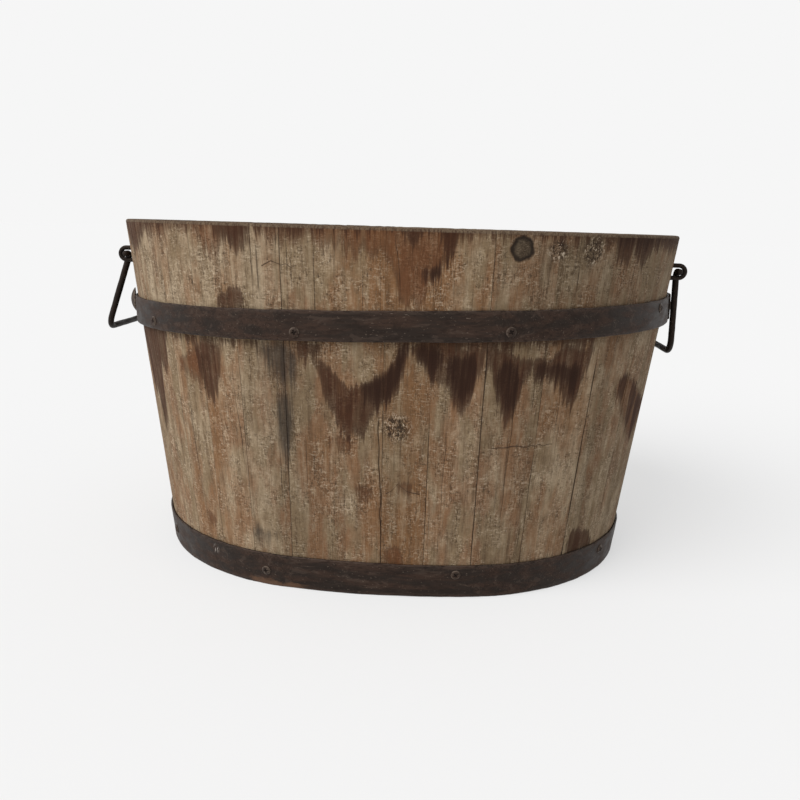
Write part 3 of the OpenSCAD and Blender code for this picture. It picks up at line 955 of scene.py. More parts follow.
# %% Mix the tones of the wood
THROUGH = 20
KHAKI, ROSY = paint(120, 101, 77), paint(124, 94, 70)
PALE, ORANGE = paint(146, 129, 106), paint(121, 87, 57)
grain = wood.place("grain_place")


def grained(across, along, detail=3.0, rough=0.6, warp=0.0, through=THROUGH):
    """A mottle of the wood, with its size across the grain and along it."""
    return wood.mottle(grain, (across, through, along), detail, rough, warp)


pale, warm, shade = wood.mark("weather")
cloud, bleach = grained(22, 95, 4.0, 0.55), grained(21, 42, 5.0, 0.65)
paler = wood.mask(wood.total(pale, wood.sway(bleach, 2.8)), 0.1, 1.0)
warmer = wood.mask(wood.total(warm, wood.sway(cloud, 2.4)), 0.1, 1.0)
colour = wood.lay(wood.mask(cloud, 0.42, 0.58), KHAKI, ROSY)
colour = wood.lay(warmer, wood.lay(paler, colour, PALE), ORANGE)
wood.tell("tones of the wood")

# %% Draw the fibres and streaks
blot, streak = grained(8, 15, 4.0), grained(7, 130, 4.0)
fibre, hairline = grained(1.2, 55), grained(1.7, 170, 2.0, 0.5)
FIBRES = [
    (blot, 0.5, 0.68, 0.34, paint(90, 70, 50)),
    (blot, 0.46, 0.3, 0.4, paint(152, 135, 111)),
    (fibre, 0.5, 0.68, 0.34, paint(84, 66, 49)),
    (hairline, 0.64, 0.74, 0.7, paint(58, 44, 33)),
    (streak, 0.54, 0.68, 0.4, paint(84, 63, 45)),
    (streak, 0.44, 0.3, 0.3, paint(152, 136, 113)),
]
colour = wood.coats(colour, FIBRES)
wood.tell("fibres and streaks")

# %% [markdown]
# Where the soft wood between the fibres has gone, the face is rough: pale torn tips beside dark
# pits. A few saw marks still cross the grain. Old wood also has more contrast than these thin coats
# give, so every colour is then scaled by a power of its own lightness.

# %% Rough patches and saw marks
MIDDLE_LIGHTNESS, CONTRAST = 0.14, 0.28
weft, nick = grained(4.6, 1.5, 3.0, 0.65, 0.7), grained(1.1, 7, 3.0, 0.65, 0.5)
speck = grained(1.3, 2.8, 3.0, 0.75)
TORN = [
    (weft, 0.53, 0.66, 0.55, paint(164, 149, 128)),
    (weft, 0.47, 0.34, 0.6, paint(76, 60, 45)),
    (nick, 0.45, 0.32, 0.45, paint(160, 144, 122)),
    (nick, 0.55, 0.68, 0.65, paint(64, 49, 37)),
    (speck, 0.54, 0.68, 0.35, paint(166, 150, 129)),
    (speck, 0.46, 0.33, 0.45, paint(72, 56, 42)),
]
rough_patch = wood.mask(grained(14, 26, 4.0, 0.65), 0.4, 0.62)
torn_share = wood.total(wood.times(rough_patch, 0.9), 0.22)
# The shade tone lays a dark brown: partly weathered wood, partly painted shade on the right end.
colour = wood.lay(shade, wood.coats(colour, TORN, torn_share), paint(60, 50, 38))
lightness = wood.node("RGBToBW")
wood.put(lightness.inputs[0], colour)
evened = wood.math("DIVIDE", lightness.outputs[0], MIDDLE_LIGHTNESS)
stronger = wood.node("VectorMath", operation="SCALE")
wood.put(stronger.inputs[0], colour)
wood.put(stronger.inputs["Scale"], wood.math("POWER", evened, CONTRAST))
colour = stronger.outputs[0]
wood.tell("rough patches")

# %% [markdown]
# The stains go over the wood. A stain's edge is moved up and down by a mottle that changes quickly
# across the grain and slowly along it, which gives the ragged spikes of water creeping along
# fibres. A flat brown would look like a sticker, so the wash deepens inwards and half of it only
# tints what lies below. A dark tide line stays where the water stopped.

# %% Lay the stains over the wood
BARE_WOOD, TIDE = paint(122, 102, 80), paint(46, 31, 23)
brown_reach, dark_reach, light_reach = wood.mark("stain_reach")
grey_reach, inside_wall, on_rim = wood.mark("grey_reach")
spikes, needles = grained(4.2, 90), grained(1.3, 50, 3.0, 0.65)
ragged = wood.total(wood.sway(spikes, 40), wood.sway(needles, 24))


def stain(reach, colour, tint, tide, least, most, soft):
    """Lays one kind of stain over a colour: a wash that deepens inwards, and a tide line."""
    ragged_reach = wood.total(reach, ragged)
    wash = wood.mask(ragged_reach, -0.4 * soft, 0.6 * soft)
    swing = (most - least) / 2
    deeper = wood.total(wood.mask(spikes, 0.36, 0.6, swing), wood.mask(reach, 0, 16, swing), least)
    soaked = tuple(part / bare for part, bare in zip(tint, BARE_WOOD))
    wet = wood.lay(0.5, wood.lay(1.0, colour, soaked, "MULTIPLY"), tint)
    colour = wood.lay(wood.times(wash, deeper), colour, wet)
    line = wood.times(wood.mask(ragged_reach, -1, 3), wood.mask(ragged_reach, 14, 4, tide))
    return wood.lay(line, colour, TIDE)


colour = stain(light_reach, colour, paint(92, 62, 41), 0.3, 0.3, 0.95, 16)
colour = stain(brown_reach, colour, paint(64, 42, 29), 0.35, 0.5, 1.0, 12)
colour = stain(dark_reach, colour, paint(54, 35, 25), 0.15, 0.6, 1.0, 14)
colour = stain(grey_reach, colour, paint(56, 48, 41), 0.1, 0.5, 0.95, 30)
wood.tell("stains")

# %% [markdown]
# Dirt settles in whatever is open. Cracks are drawn from the distance to their line, and a mottle
# makes them wider and narrower. A knot has its own rings and a dark collar, and a burr has pale
# torn fibres over dark hollows.

# %% Dirt in the cracks and joints
crack_aside, crack_open, in_joint = wood.mark("crack_line")
knot_away, burr_away, cross_off = wood.mark("knot_ring")
crack_width = wood.times(crack_open, wood.total(wood.times(streak, 1.6), -0.1))
cross_width = wood.total(wood.times(cloud, 1.6), -0.35)


def within(width, aside):
    """How far a place lies within half the width of a crack."""
    return wood.math("SUBTRACT", width, wood.math("ABSOLUTE", aside))


DIRT = [
    (within(crack_width, crack_aside), -0.3, 0.3, 0.9, paint(38, 28, 21)),
    (in_joint, -0.2, 0.6, 0.85, paint(40, 30, 23)),
    (within(cross_width, cross_off), -0.35, 0.35, 0.8, paint(50, 36, 27)),
]
colour = wood.coats(colour, DIRT)
wood.tell("dirt in the cracks")

# %% Knots and burrs
knot_edge = wood.total(knot_away, wood.sway(grained(6, 6), 0.55))
in_knot = wood.mask(knot_edge, 1.1, 0.96)
knot_lines, knot_shade = grained(4.2, 1.1, 3.0, 0.65, 1.6), grained(7, 9, 2.0, 0.5)
KNOT_RINGS = [
    (knot_lines, 0.5, 0.6, 0.85, paint(40, 32, 25)),
    (knot_lines, 0.44, 0.34, 0.6, paint(118, 105, 88)),
    (knot_shade, 0.42, 0.62, 0.3, paint(104, 91, 74)),
]
colour = wood.lay(wood.times(in_knot, 0.95), colour, paint(66, 55, 43))
colour = wood.coats(colour, KNOT_RINGS, in_knot)
collar = wood.times(wood.mask(knot_edge, 0.55, 0.98), wood.mask(knot_edge, 1.3, 1.04, 0.92))
colour = wood.lay(collar, colour, paint(34, 26, 20))
torn_spot = grained(3.0, 4.2, 4.0, 0.7, 1.2, through=3)
BURR_FIBRES = [
    (torn_spot, 0.54, 0.44, 0.95, paint(44, 34, 26)),
    (torn_spot, 0.55, 0.63, 0.8, paint(174, 160, 142)),
]
colour = wood.coats(colour, BURR_FIBRES, wood.mask(burr_away, 1.3, 0.5))
wood.tell("knots and burrs")

# %% [markdown]
# Inside, the wall is damp and even. On the rim the staves show their end grain. Last, the fibres
# are raised a little by a bump, which is enough for what is finer than the grid of the staves.

# %% Finish the inside, the rim and the relief
colour = wood.lay(wood.times(inside_wall, 0.45), colour, paint(92, 80, 66))
end_grain = grained(1.3, 30, 3.0, 0.7, through=1.6)
rim_colour = wood.lay(wood.mask(end_grain, 0.42, 0.6), paint(104, 90, 73), paint(66, 52, 41))
colour = wood.lay(wood.times(on_rim, 0.7), colour, rim_colour)
torn = wood.total(wood.times(speck, 0.4), wood.times(weft, 0.4), wood.times(nick, -0.6))
wood.relief(wood.total(wood.times(fibre, 0.5), wood.times(torn, torn_share)), 0.6, 0.8)
wood.cover(colour, worn_staves)
wood.tell("weathered wood")

# %% [markdown]
# ## Boards and dowels of the bottom
# The bottom lies in the shade inside the tub. It stays as the frame has it, since flat boards are
# what a cooper would put there, and takes a damp, darker wood of its own. The grain is shifted from
# board to board, so that it doesn't run on across a joint.

# %% Mix the bottom wood
BOARD_SHIFT = 370
bottom = Finish("damp bottom wood", 0.8, 0.5)
bottom_names = [name for name in nodes if name.startswith("bottom_")]
board_boxes = [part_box(name) for name in bottom_names if name.startswith("bottom_board_")]
board_lows, board_highs = zip(*board_boxes)
boards_wide = (max(high.y for high in board_highs) - min(low.y for low in board_lows)) / MM
in_mm = bottom.node("VectorMath", operation="SCALE")
bottom.put(in_mm.inputs[0], bottom.node("TexCoord").outputs["Object"])
in_mm.inputs["Scale"].default_value = 1 / MM
along, aside, upward = bottom.split(in_mm.outputs[0])
board_count = bottom.math("DIVIDE", aside, boards_wide / len(board_boxes))
shift = bottom.times(bottom.math("FLOOR", board_count), BOARD_SHIFT)
own_grain = bottom.node("CombineXYZ")
for socket, value in zip(own_grain.inputs, (bottom.total(along, shift), aside, upward)):
    bottom.put(socket, value)
bottom.tell("grain of the boards")

# %% Cover the boards and dowels
board_streak = bottom.mottle(own_grain.outputs[0], (150, 6, 20), 4.0, 0.6)
board_fibre = bottom.mottle(own_grain.outputs[0], (40, 1.2, 6), 3.0, 0.6)
from_middle = bottom.math("SUBTRACT", bottom.math("FRACT", board_count), 0.5)
BOARD_COATS = [
    (board_streak, 0.35, 0.65, 1.0, paint(122, 104, 84)),
    (board_fibre, 0.5, 0.75, 0.5, paint(60, 48, 37)),
    (bottom.math("ABSOLUTE", from_middle), 0.485, 0.498, 0.8, paint(36, 28, 22)),
]
bottom.cover(bottom.coats(paint(92, 78, 62), BOARD_COATS))
bottom.relief(board_fibre, 0.4, 0.6)
for name in bottom_names:
    for slot in nodes[name].material_slots:
        slot.material = bottom.material
print("bottom pieces:", len(bottom_names))

# %% [markdown]
# ## Hoops
# A hoop is a strip of iron, bent round the staves, lapped and riveted. The lower one was hammered
# to the slope of the wall, while the upper one is a straight strip that was driven down out of
# level. A seat says where a place on a strip lies in space: by its direction, how far up the strip
# it is, and how far out from the staves.

# %% Seats of the two hoops
LOWER_HOOP_WIDTH, UPPER_HOOP_WIDTH, UPPER_HOOP_HEIGHT = 35, 28, 266
UPPER_TILT = math.radians(1.72)
tilt_rise = math.tan(UPPER_TILT)
upper_shift = tilt_rise * (lean * half_length + UPPER_HOOP_WIDTH / 2)
upper_inset = inset(UPPER_HOOP_HEIGHT + UPPER_HOOP_WIDTH / 2) - lean * tilt_rise * end_offset


def on_oval(direction, inwards):
    """X and Y of places on the oval, drawn inwards from the rim's outline."""
    x, y = np.zeros(direction.shape), np.zeros(direction.shape)
    turn = np.radians(direction)
    for arc_x, arc_y, radius, middle, half in ARCS:
        here = np.abs(turned(direction, middle) - middle) <= half
        x = np.where(here, arc_x + (radius - inwards) * np.cos(turn), x)
        y = np.where(here, arc_y + (radius - inwards) * np.sin(turn), y)
    return x, y


def lower_seat(direction, rise, out):
    """Places on the lower hoop, which leans with the wall."""
    x, y = on_oval(direction, inset(rise) - out)
    return np.stack([x, y, rise + 0 * x], axis=-1)


def upper_seat(direction, rise, out):
    """Places on the upper hoop, whose plane is tilted about Y."""
    x, y = on_oval(direction, upper_inset - out)
    x, rise = x + upper_shift, rise - UPPER_HOOP_WIDTH / 2
    tilted_x = x * math.cos(UPPER_TILT) - rise * math.sin(UPPER_TILT)
    tilted_z = x * math.sin(UPPER_TILT) + rise * math.cos(UPPER_TILT)
    return np.stack([tilted_x, y, UPPER_HOOP_HEIGHT + tilted_z], axis=-1)


print("upper hoop drawn in by, mm:", round(upper_inset, 2))

# %% [markdown]
# A swept curve would give a perfect band, so each strip is a grid instead: its edges are rounded
# and a little nibbled, and its face has the shallow dents of the hammer.

# %% Shape of a strip
STRIP_STEP = 2.6
EDGE_REACH, COARSE_NIBBLE, FINE_NIBBLE = 3, 0.55, 0.25
COARSE_DENT, FINE_DENT = 0.3, 0.12


def strip_directions(start, end):
    """Directions along a strip, at even steps of length on every arc."""
    directions = []
    for _, _, radius, middle, half in ARCS:
        step = STRIP_STEP / radius * 180 / math.pi
        directions.append(np.arange(middle - half, middle + half - step / 3, step) % 360)
    middle = (start + end) / 2
    around = turned(np.concatenate(directions), middle)
    return np.sort(around[np.abs(around - middle) <= (end - start) / 2])


def strip_section(width, inner, outer):
    """The section of a strip as (out, rise): foot, face and head, with rounded edges."""
    foot = [(inner, 0.1), (outer - 1.1, 0), (outer - 0.3, 0.2)]
    face = [(outer, rise) for rise in np.linspace(1, width - 1, 9)]
    head = [(out, width - rise) for out, rise in foot[::-1]]
    return np.array(foot + face + head)


def nibbled(length, step, seed):
    """How much an edge of the strip has lost along its length."""
    coarse, fine = drift(length / step, length * 0, seed), drift(length / 4, length * 0, seed + 1)
    return COARSE_NIBBLE * coarse + FINE_NIBBLE * fine


def hammered(length, rise, width, seed):
    """How deep the face is dented, and how high each place is on the nibbled strip."""
    coarse, fine = drift(length / 19, rise / 11, seed), drift(length / 5, rise / 4, seed + 1)
    dents = COARSE_DENT * coarse + FINE_DENT * fine
    above = nibbled(length, 13, seed + 2) * eased(rise, width - EDGE_REACH, width)
    below = nibbled(length, 15, seed + 4) * eased(-rise, -EDGE_REACH, 0)
    return dents, rise - above + below


print("columns along a hoop:", len(strip_directions(0, 360)))

# %% [markdown]
# The lower hoop stood on wet floors. It has patches of bright rust along its edges and two places
# where it was scraped bare, each marked on the points like the stains of the staves.

# %% Rust and scrapes on the lower hoop
RUST_PATCHES = [(246.5, 265, -4, 9), (60, 84, 24, 38), (184, 206, -4, 8)]
SCRAPES = [(236.2, 25, 7), (140, 18, 7)]


def rust_share(direction, rise, patches):
    """How deep each place lies in a patch of rust, from 0 to 1."""
    share = np.zeros(direction.shape)
    for start, end, low, high in patches:
        middle = (start + end) / 2
        along = 1 - np.abs(turned(direction, middle) - middle) / ((end - start) / 2)
        upward = 1 - np.abs(rise - (low + high) / 2) / ((high - low) / 2)
        share = np.maximum(share, np.clip(np.minimum(1.6 * along, upward), 0, 1))
    return share


def scrape_share(direction, rise, scrapes):
    """How near each place is to the middle of a scrape, from 0 to 1."""
    share = np.zeros(direction.shape)
    for at, height, wide in scrapes:
        aside = arc_length(turned(direction, at) - at, end_radius)
        share = np.maximum(share, np.clip(1 - np.hypot(aside, rise - height) / wide, 0, 1))
    return share


print("rust patches and scrapes:", len(RUST_PATCHES), len(SCRAPES))

# %% [markdown]
# Each hoop is two strips: the ring itself, and the end that laps over it. Each strip has its own
# two distances out from the staves, so that the lap lies on the ring.

# %% Bend the two hoops
RING_OUT, LAP_OUT = (0.15, 2.65), (2.75, 5.2)
LAP_HALF = 7
HOOPS = {
    "upper_hoop": (upper_seat, UPPER_HOOP_WIDTH, 357, 31, [], []),
    "lower_hoop": (lower_seat, LOWER_HOOP_WIDTH, 90, 41, RUST_PATCHES, SCRAPES),
}


def hoop_strip(hoop, outs, start, end, seed):
    """A strip of a hoop between two distances out from its seat and between two directions."""
    seat, width, _, _, patches, scrapes = hoop
    section = strip_section(width, *outs)
    direction, rise = np.meshgrid(strip_directions(start, end), section[:, 1], indexing="ij")
    out = np.broadcast_to(section[:, 0], direction.shape)
    on_face, length = out > outs[0], np.radians(direction) * end_radius
    dents, worn_rise = hammered(length, rise, width, seed)
    points = seat(direction, worn_rise, np.where(on_face, out - dents, out))
    # Both rounded edges of the strip are marked to be painted lighter: partly rubbed wear, partly
    # painted highlight.
    edge = np.maximum(eased(rise, width - 1.6, width - 0.2), eased(-rise, -1.6, -0.2)) * on_face
    rust, scrape = rust_share(direction, rise, patches), scrape_share(direction, rise, scrapes)
    marks = {
        "iron_place": np.stack([length, rise, out + seed], axis=-1).reshape(-1, 3),
        "iron_wear_and_painted_light": np.stack([edge, rust, 0 * edge], axis=-1).reshape(-1, 3),
        "iron_scuff": np.stack([scrape, 0 * scrape, 0 * scrape], axis=-1).reshape(-1, 3),
    }
    return points.reshape(-1, 3), grid_faces(*direction.shape, end - start >= 360), marks


hoops = []
for name, hoop in HOOPS.items():
    lap, seed = hoop[2:4]
    ring = hoop_strip(hoop, RING_OUT, 0, 360, seed)
    lapped = hoop_strip(hoop, LAP_OUT, lap - LAP_HALF, lap + LAP_HALF, seed + 6)
    hoops.append(make_piece("driven_" + name, [ring, lapped], name))
print("faces in the hoops:", [len(hoop.data.polygons) for hoop in hoops])

# %% [markdown]
# ## Screws, rivets and the stud
# The screws were put in later to hold the loose hoops; each has a worn cross in a round head. The
# rivets that close the laps and the big stud at the end are plain domes. Their places come from the
# frame: the points of a group fall apart into single fasteners, and the seat of the hoop says which
# way each of them looks.

# %% Find the fasteners
FASTENER_GAP = 2.5


def fastener_place(points, seat):
    """The head's top along the fastener's own axes, the axes, and its length."""
    at, low_rise, high_rise = (np.array([v]) for v in (arc_at(points)[1], 9.0, 19.0))
    along = (seat(at + 0.01, low_rise, 0) - seat(at - 0.01, low_rise, 0))[0]
    upward = (seat(at, high_rise, 0) - seat(at, low_rise, 0))[0]
    side, up = along / np.linalg.norm(along), upward / np.linalg.norm(upward)
    axes = np.array([side, up, np.cross(side, up)])
    own = points @ axes.T
    low, high = own.min(axis=0), own.max(axis=0)
    return np.array([*(low + high)[:2] / 2, high[2]]), axes, high[2] - low[2]


def fasteners(node, seat):
    """The places of all fasteners in a group, in order round the tub from the front."""
    points = node_points(node)
    around = (np.degrees(np.arctan2(points[:, 1], points[:, 0])) - 270) % 360
    order = np.argsort(around)
    gaps = np.nonzero(np.diff(around[order]) > FASTENER_GAP)[0] + 1
    return [fastener_place(points[group], seat) for group in np.split(order, gaps)]


print("length of the stud, mm:", round(float(fasteners("end_stud", upper_seat)[0][2]), 1))

# %% [markdown]
# Each is turned, like work on a lathe: rings of points follow a profile down from the middle of the
# head to the tip of the shank. A spin of the profile would do for a plain dome. The rings are set
# point by point, so that the cross can be pressed in and the head left uneven. A kind of fastener
# is given by the width and height of its head, its shank, and the length of its cross.

# %% Profile and cross of a head
SCREW, RIVET, STUD = (9.5, 1.6, 4, 5), (12, 2.8, 6, 0), (25, 4.5, 4, 0)
HEAD_RINGS, HEAD_SIDES, AXIS_HOLE = 18, 48, 0.1
SKIRT, CROSS_DEPTH, CROSS_SLOT = 0.55, 0.95, (0.95, 0.45)


def head_profile(wide, height, shank, length):
    """Radii and depths from the middle of a domed head to the tip of the shank."""
    ball = (wide * wide / 4 + height * height) / (2 * height)
    dome = np.linspace(AXIS_HOLE, wide / 2, HEAD_RINGS)
    skirt = height + SKIRT
    radii = np.concatenate([dome, [wide / 2, shank / 2, shank / 2, AXIS_HOLE]])
    dome_depths = ball - np.sqrt(ball * ball - dome * dome)
    return radii, np.concatenate([dome_depths, [skirt, skirt, length, length]])


def cross_recess(u, v, cross):
    """How deep each place lies in a cross of a given length, from 0 to 1."""
    outer, inner = CROSS_SLOT
    slots = [
        eased(-np.abs(a), -cross / 2, -cross / 2 + 0.5) * eased(-np.abs(b), -outer, -inner)
        for a, b in ((u, v), (v, u))
    ]
    return np.maximum(*slots) * (cross > 0)


print("rings down a screw:", len(head_profile(*SCREW[:3], STAVE_THICK)[0]))


# %% Turn the fasteners
def turned_fastener(place, wide, height, shank, cross, seed):
    """A domed head on a shank, with a cross of the given length cut into it."""
    top, axes, length = place
    rng = np.random.default_rng(seed)
    radii, depths = head_profile(wide, height, shank, length)
    turn = np.linspace(0, 2 * math.pi, HEAD_SIDES, endpoint=False)
    ring, around = np.meshgrid(radii, turn, indexing="ij")
    depth = np.broadcast_to(depths[:, None], ring.shape)
    on_head, cross_turn = depth <= height, around + rng.uniform(0, math.pi)
    u, v = ring * np.cos(cross_turn), ring * np.sin(cross_turn)
    recess = cross_recess(u, v, cross) * on_head
    uneven = 0.16 * drift(u / 1.7 + 9, v / 1.7 + 9, seed)
    depth = depth + on_head * (uneven + recess * CROSS_DEPTH)
    local = np.stack([ring * np.cos(around), ring * np.sin(around), -depth], axis=-1) + top
    points = (local @ axes).reshape(-1, 3)
    # The head's rim is marked to be painted lighter, partly wear and partly painted highlight, and
    # the cross to be painted near black as painted shade.
    rim = eased(ring, wide * 0.36, wide * 0.46) * on_head
    wear = np.stack([rim, 0.12 * rng.random() + 0 * rim, recess], axis=-1)
    marks = {"iron_place": points, "iron_wear_and_painted_light": wear.reshape(-1, 3)}
    return points, grid_faces(*ring.shape), marks


GROUPS = {
    "upper_hoop_screws": (upper_seat, SCREW),
    "lower_hoop_screws": (lower_seat, SCREW),
    "upper_hoop_rivets": (upper_seat, RIVET),
    "lower_hoop_rivets": (lower_seat, RIVET),
    "end_stud": (upper_seat, STUD),
}
worn_fasteners = []
for node, (seat, head) in GROUPS.items():
    places = fasteners(node, seat)
    shapes = [turned_fastener(place, *head, 60 + i) for i, place in enumerate(places)]
    worn_fasteners.append(make_piece("worn_" + node, shapes, node))
    print(node, "has", len(shapes))

# %% [markdown]
# ## Bails and staples
# The handles are bent from one thick wire each and hang in staples of thinner wire. A curve with a
# round bevel would do, but forged wire isn't even: rings of points are set along the bends, and
# each ring is a little thinner here and there.

# %% Wire along a path
WIRE_SIDES = 20


def arc_path(centre, radius, start, end):
    """Points of a bend in a plane, from one angle to another."""
    turns = np.radians(np.linspace(start, end, max(5, int(abs(end - start) / 9))))
    return [(centre[0] + radius * math.cos(t), centre[1] + radius * math.sin(t)) for t in turns]


def straight_path(first, last, step=3.0):
    """Points inside a straight run, without its two ends."""
    first, last = np.array(first), np.array(last)
    count = max(2, int(np.linalg.norm(last - first) / step))
    return [tuple(first + (last - first) * i / count) for i in range(1, count)]


def bent_wire(flat, place, radius, seed):
    """A wire along a flat path of (across, up), put in space by place(across, up, aside)."""
    flat = np.array(flat)
    ahead = np.gradient(flat, axis=0)
    ahead = ahead / np.linalg.norm(ahead, axis=1)[:, None]
    length = np.concatenate([[0], np.cumsum(np.linalg.norm(np.diff(flat, axis=0), axis=1))])
    ends = np.clip(np.minimum(length, length[-1] - length) / (0.6 * radius), 0, 1)
    domed = np.sqrt(np.clip(1 - (1 - ends) ** 2, 0.02, 1))
    turn = np.linspace(0, 2 * math.pi, WIRE_SIDES, endpoint=False)
    along, around = np.meshgrid(length, turn, indexing="ij")
    share = around / 2 / math.pi
    thin = 0.07 * drift(along / 9, share * 3, seed) + 0.05 * drift(along / 3, share * 7, seed + 1)
    ring = radius * domed[:, None] * (1 - thin)
    shift = ring * np.cos(around)
    across, up = flat[:, :1] + shift * ahead[:, 1:], flat[:, 1:] - shift * ahead[:, :1]
    points = place(across, up, ring * np.sin(around)).reshape(-1, 3)
    round_wire = [along + 90 * seed, radius * np.cos(around), radius * np.sin(around)]
    marks = {
        "iron_place": np.stack(round_wire, axis=-1).reshape(-1, 3),
        "iron_wear_and_painted_light": np.zeros((along.size, 3)),
    }
    return points, grid_faces(*along.shape), marks


print("points in a quarter bend:", len(arc_path((0, 0), 6, 90, 180)))

# %% [markdown]
# A bail is drawn flat, as a smith would bend it: a pin that turns in the staple, a leg, a corner,
# and half of the grip, with the other half as its mirror image. Then it is hung from its joint and
# swung out by as much as it rests in the photo. A staple is drawn and driven in the same way.

# %% Paths of the wire
BAIL_WIRE, STAPLE_WIRE = 7, 5
BAIL_DROP, BAIL_CORNER, LEG_Y, PIN_BEND = 86, 14, 50, 6
STAPLE_ROOM, PIN_PLAY = 1, 0.4
staple_y = LEG_Y + PIN_BEND + STAPLE_ROOM + STAPLE_WIRE / 2
pin_end = staple_y + STAPLE_WIRE / 2 + BAIL_WIRE / 2
prong_z = BAIL_WIRE / 2 + PIN_PLAY + STAPLE_WIRE / 2
grip_y, corner_z = LEG_Y - BAIL_CORNER, BAIL_CORNER - BAIL_DROP
half_bail = [(pin_end - back, 0) for back in (0, 0.7, 1.5)]
half_bail += straight_path((pin_end - 2, 0), (LEG_Y + PIN_BEND, 0))
half_bail += arc_path((LEG_Y + PIN_BEND, -PIN_BEND), PIN_BEND, 90, 180)
half_bail += straight_path((LEG_Y, -PIN_BEND), (LEG_Y, corner_z))
half_bail += arc_path((grip_y, corner_z), BAIL_CORNER, 0, -90)
half_bail += straight_path((grip_y, -BAIL_DROP), (-grip_y, -BAIL_DROP))
bail_path = half_bail + [(-y, z) for y, z in half_bail[::-1] if abs(y) > grip_y - 0.1]


def staple_path(prong):
    """The path of a staple as (out, up), with prongs of a given length."""
    half = [(back - prong, prong_z) for back in (0, 0.8, 2)]
    half += straight_path((3 - prong, prong_z), (0, prong_z))
    return half + arc_path((0, 0), prong_z, 90, -90) + [(out, -z) for out, z in half[::-1]]


print("points along a bail and a staple:", len(bail_path), len(staple_path(25)))


# %% Hang the bails and drive the staples
def hung(pivot, side, swing):
    """A function that puts a place of the flat bail in the tub, swung out by some degrees."""
    cos, sin = math.cos(math.radians(swing)), math.sin(math.radians(swing))

    def place(y, z, aside):
        out, up = aside * cos - z * sin, z * cos + aside * sin
        return np.stack([pivot.x + side * out, -side * y, pivot.z + up], axis=-1)

    return place


def driven(pivot, side, row):
    """A function that puts a place of the flat staple in the tub's end."""

    def place(out, z, aside):
        y = row * staple_y + side * aside
        return np.stack([pivot.x + side * out, y, pivot.z + z], axis=-1)

    return place


BAIL_RESTS = (("left", -1, 18.5), ("right", 1, 1.3))
joint_places = {joint["name"]: Vector(joint["pos_m"]) / MM for joint in frame["joints"]}
handles = []
for turn, (end, side, swing) in enumerate(BAIL_RESTS):
    bail, pivot = end + "_bail", joint_places[end + "_bail_swing"]
    wire = bent_wire(bail_path, hung(pivot, side, swing), BAIL_WIRE / 2, 80 + turn)
    handles.append(make_piece(end + "_bent_bail", [wire], bail, bail))
    for depth, row in (("front", -1), ("back", 1)):
        name = end + "_" + depth
        low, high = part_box(name + "_staple")
        prong = max(abs(pivot.x - x / MM) for x in (low.x, high.x)) - 0.2
        flat, place = staple_path(prong), driven(pivot, side, row)
        wire = bent_wire(flat, place, STAPLE_WIRE / 2, 90 + turn + row)
        handles.append(make_piece(name + "_bent_staple", [wire], name + "_staple"))
print("wire pieces:", len(handles))

# %% [markdown]
# ## Old iron
# The hoops are black strip iron gone brown: a thin even rust, darker pits, flakes, and a dull sheen
# that shows where the strip turns away from the eye. The edges are painted lighter, partly where
# handling rubbed them and partly as a painted highlight, and wet floors brought out a rust patch
# here and there. The cross in a screw head is painted near black as painted shade. The wire of the
# handles is nearly black. All three irons age in the same way, so one function mixes them from four
# tones each.

# %% Mix an old iron
RUST, DUST = paint(98, 72, 54), paint(116, 103, 92)
SCRAPED, PAINTED_RECESS_SHADE, SHEEN = paint(158, 150, 142), paint(14, 11, 10), paint(236, 206, 190)
IRON_ROUGHNESS, IRON_GLOSS, SCRAPE_SLANT = 0.55, 0.19, 0.45


def scraped(iron, place):
    """How bare the iron is where it was scraped, in slanting scratches."""
    slant = iron.node("VectorRotate", rotation_type="Z_AXIS")
    iron.put(slant.inputs["Vector"], place)
    slant.inputs["Angle"].default_value = SCRAPE_SLANT
    scratch = iron.mask(iron.mottle(slant.outputs[0], (1.1, 9, 5), 1.0), 0.5, 0.58, 0.9)
    return iron.times(scratch, iron.mask(iron.mark("iron_scuff")[0], 0.1, 0.6))


def old_iron(pieces, name, base, brown, dark, rubbed_and_highlight):
    """Covers pieces with iron: a brown bloom, pits, flakes, edges painted lighter as wear and painted
    highlight, a cross in painted shade and a broken sheen.
    """
    iron = Finish(name, IRON_ROUGHNESS, IRON_GLOSS)
    iron.surface.inputs["Specular Tint"].default_value = SHEEN
    place = iron.place("iron_place")
    edge, patch, recess = iron.mark("iron_wear_and_painted_light")
    bloom = iron.mottle(place, (26, 9, 9), 4.0, 0.6)
    speck = iron.mottle(place, (3, 2.2, 2.2), 3.0, 0.7)
    flake = iron.mottle(place, (11, 8, 8), 3.0, 0.65, 0.6)
    dust = iron.mottle(place, (1.3, 1.1, 1.1), 2.0, 0.6)
    uneven = iron.total(iron.times(bloom, 1.2), iron.times(speck, 0.6))
    rusty = iron.total(patch, iron.math("SUBTRACT", uneven, 1.2))
    coats = [
        (bloom, 0.4, 0.62, 1.0, brown),
        (speck, 0.5, 0.66, 0.6, dark),
        (flake, 0.55, 0.6, 0.4, dark),
        (flake, 0.42, 0.37, 0.35, rubbed_and_highlight),
        (dust, 0.66, 0.74, 0.6, DUST),
        (rusty, -0.05, 0.3, 0.65, RUST),
    ]
    colour = iron.lay(scraped(iron, place), iron.coats(base, coats), SCRAPED)
    # Edges are painted lighter, partly rubbed wear and partly painted highlight.
    colour = iron.coats(colour, [(speck, 0.6, 0.4, 0.75, rubbed_and_highlight)], edge)
    # The cross of a screw is painted near black: painted shade in its recess.
    iron.cover(iron.lay(recess, colour, PAINTED_RECESS_SHADE), pieces)
    broken = iron.total(iron.mask(bloom, 0.3, 0.7, 0.2), IRON_ROUGHNESS - 0.1)
    iron.put(iron.surface.inputs["Roughness"], broken)
    iron.relief(speck, 0.1, 0.4)
    iron.tell(name)


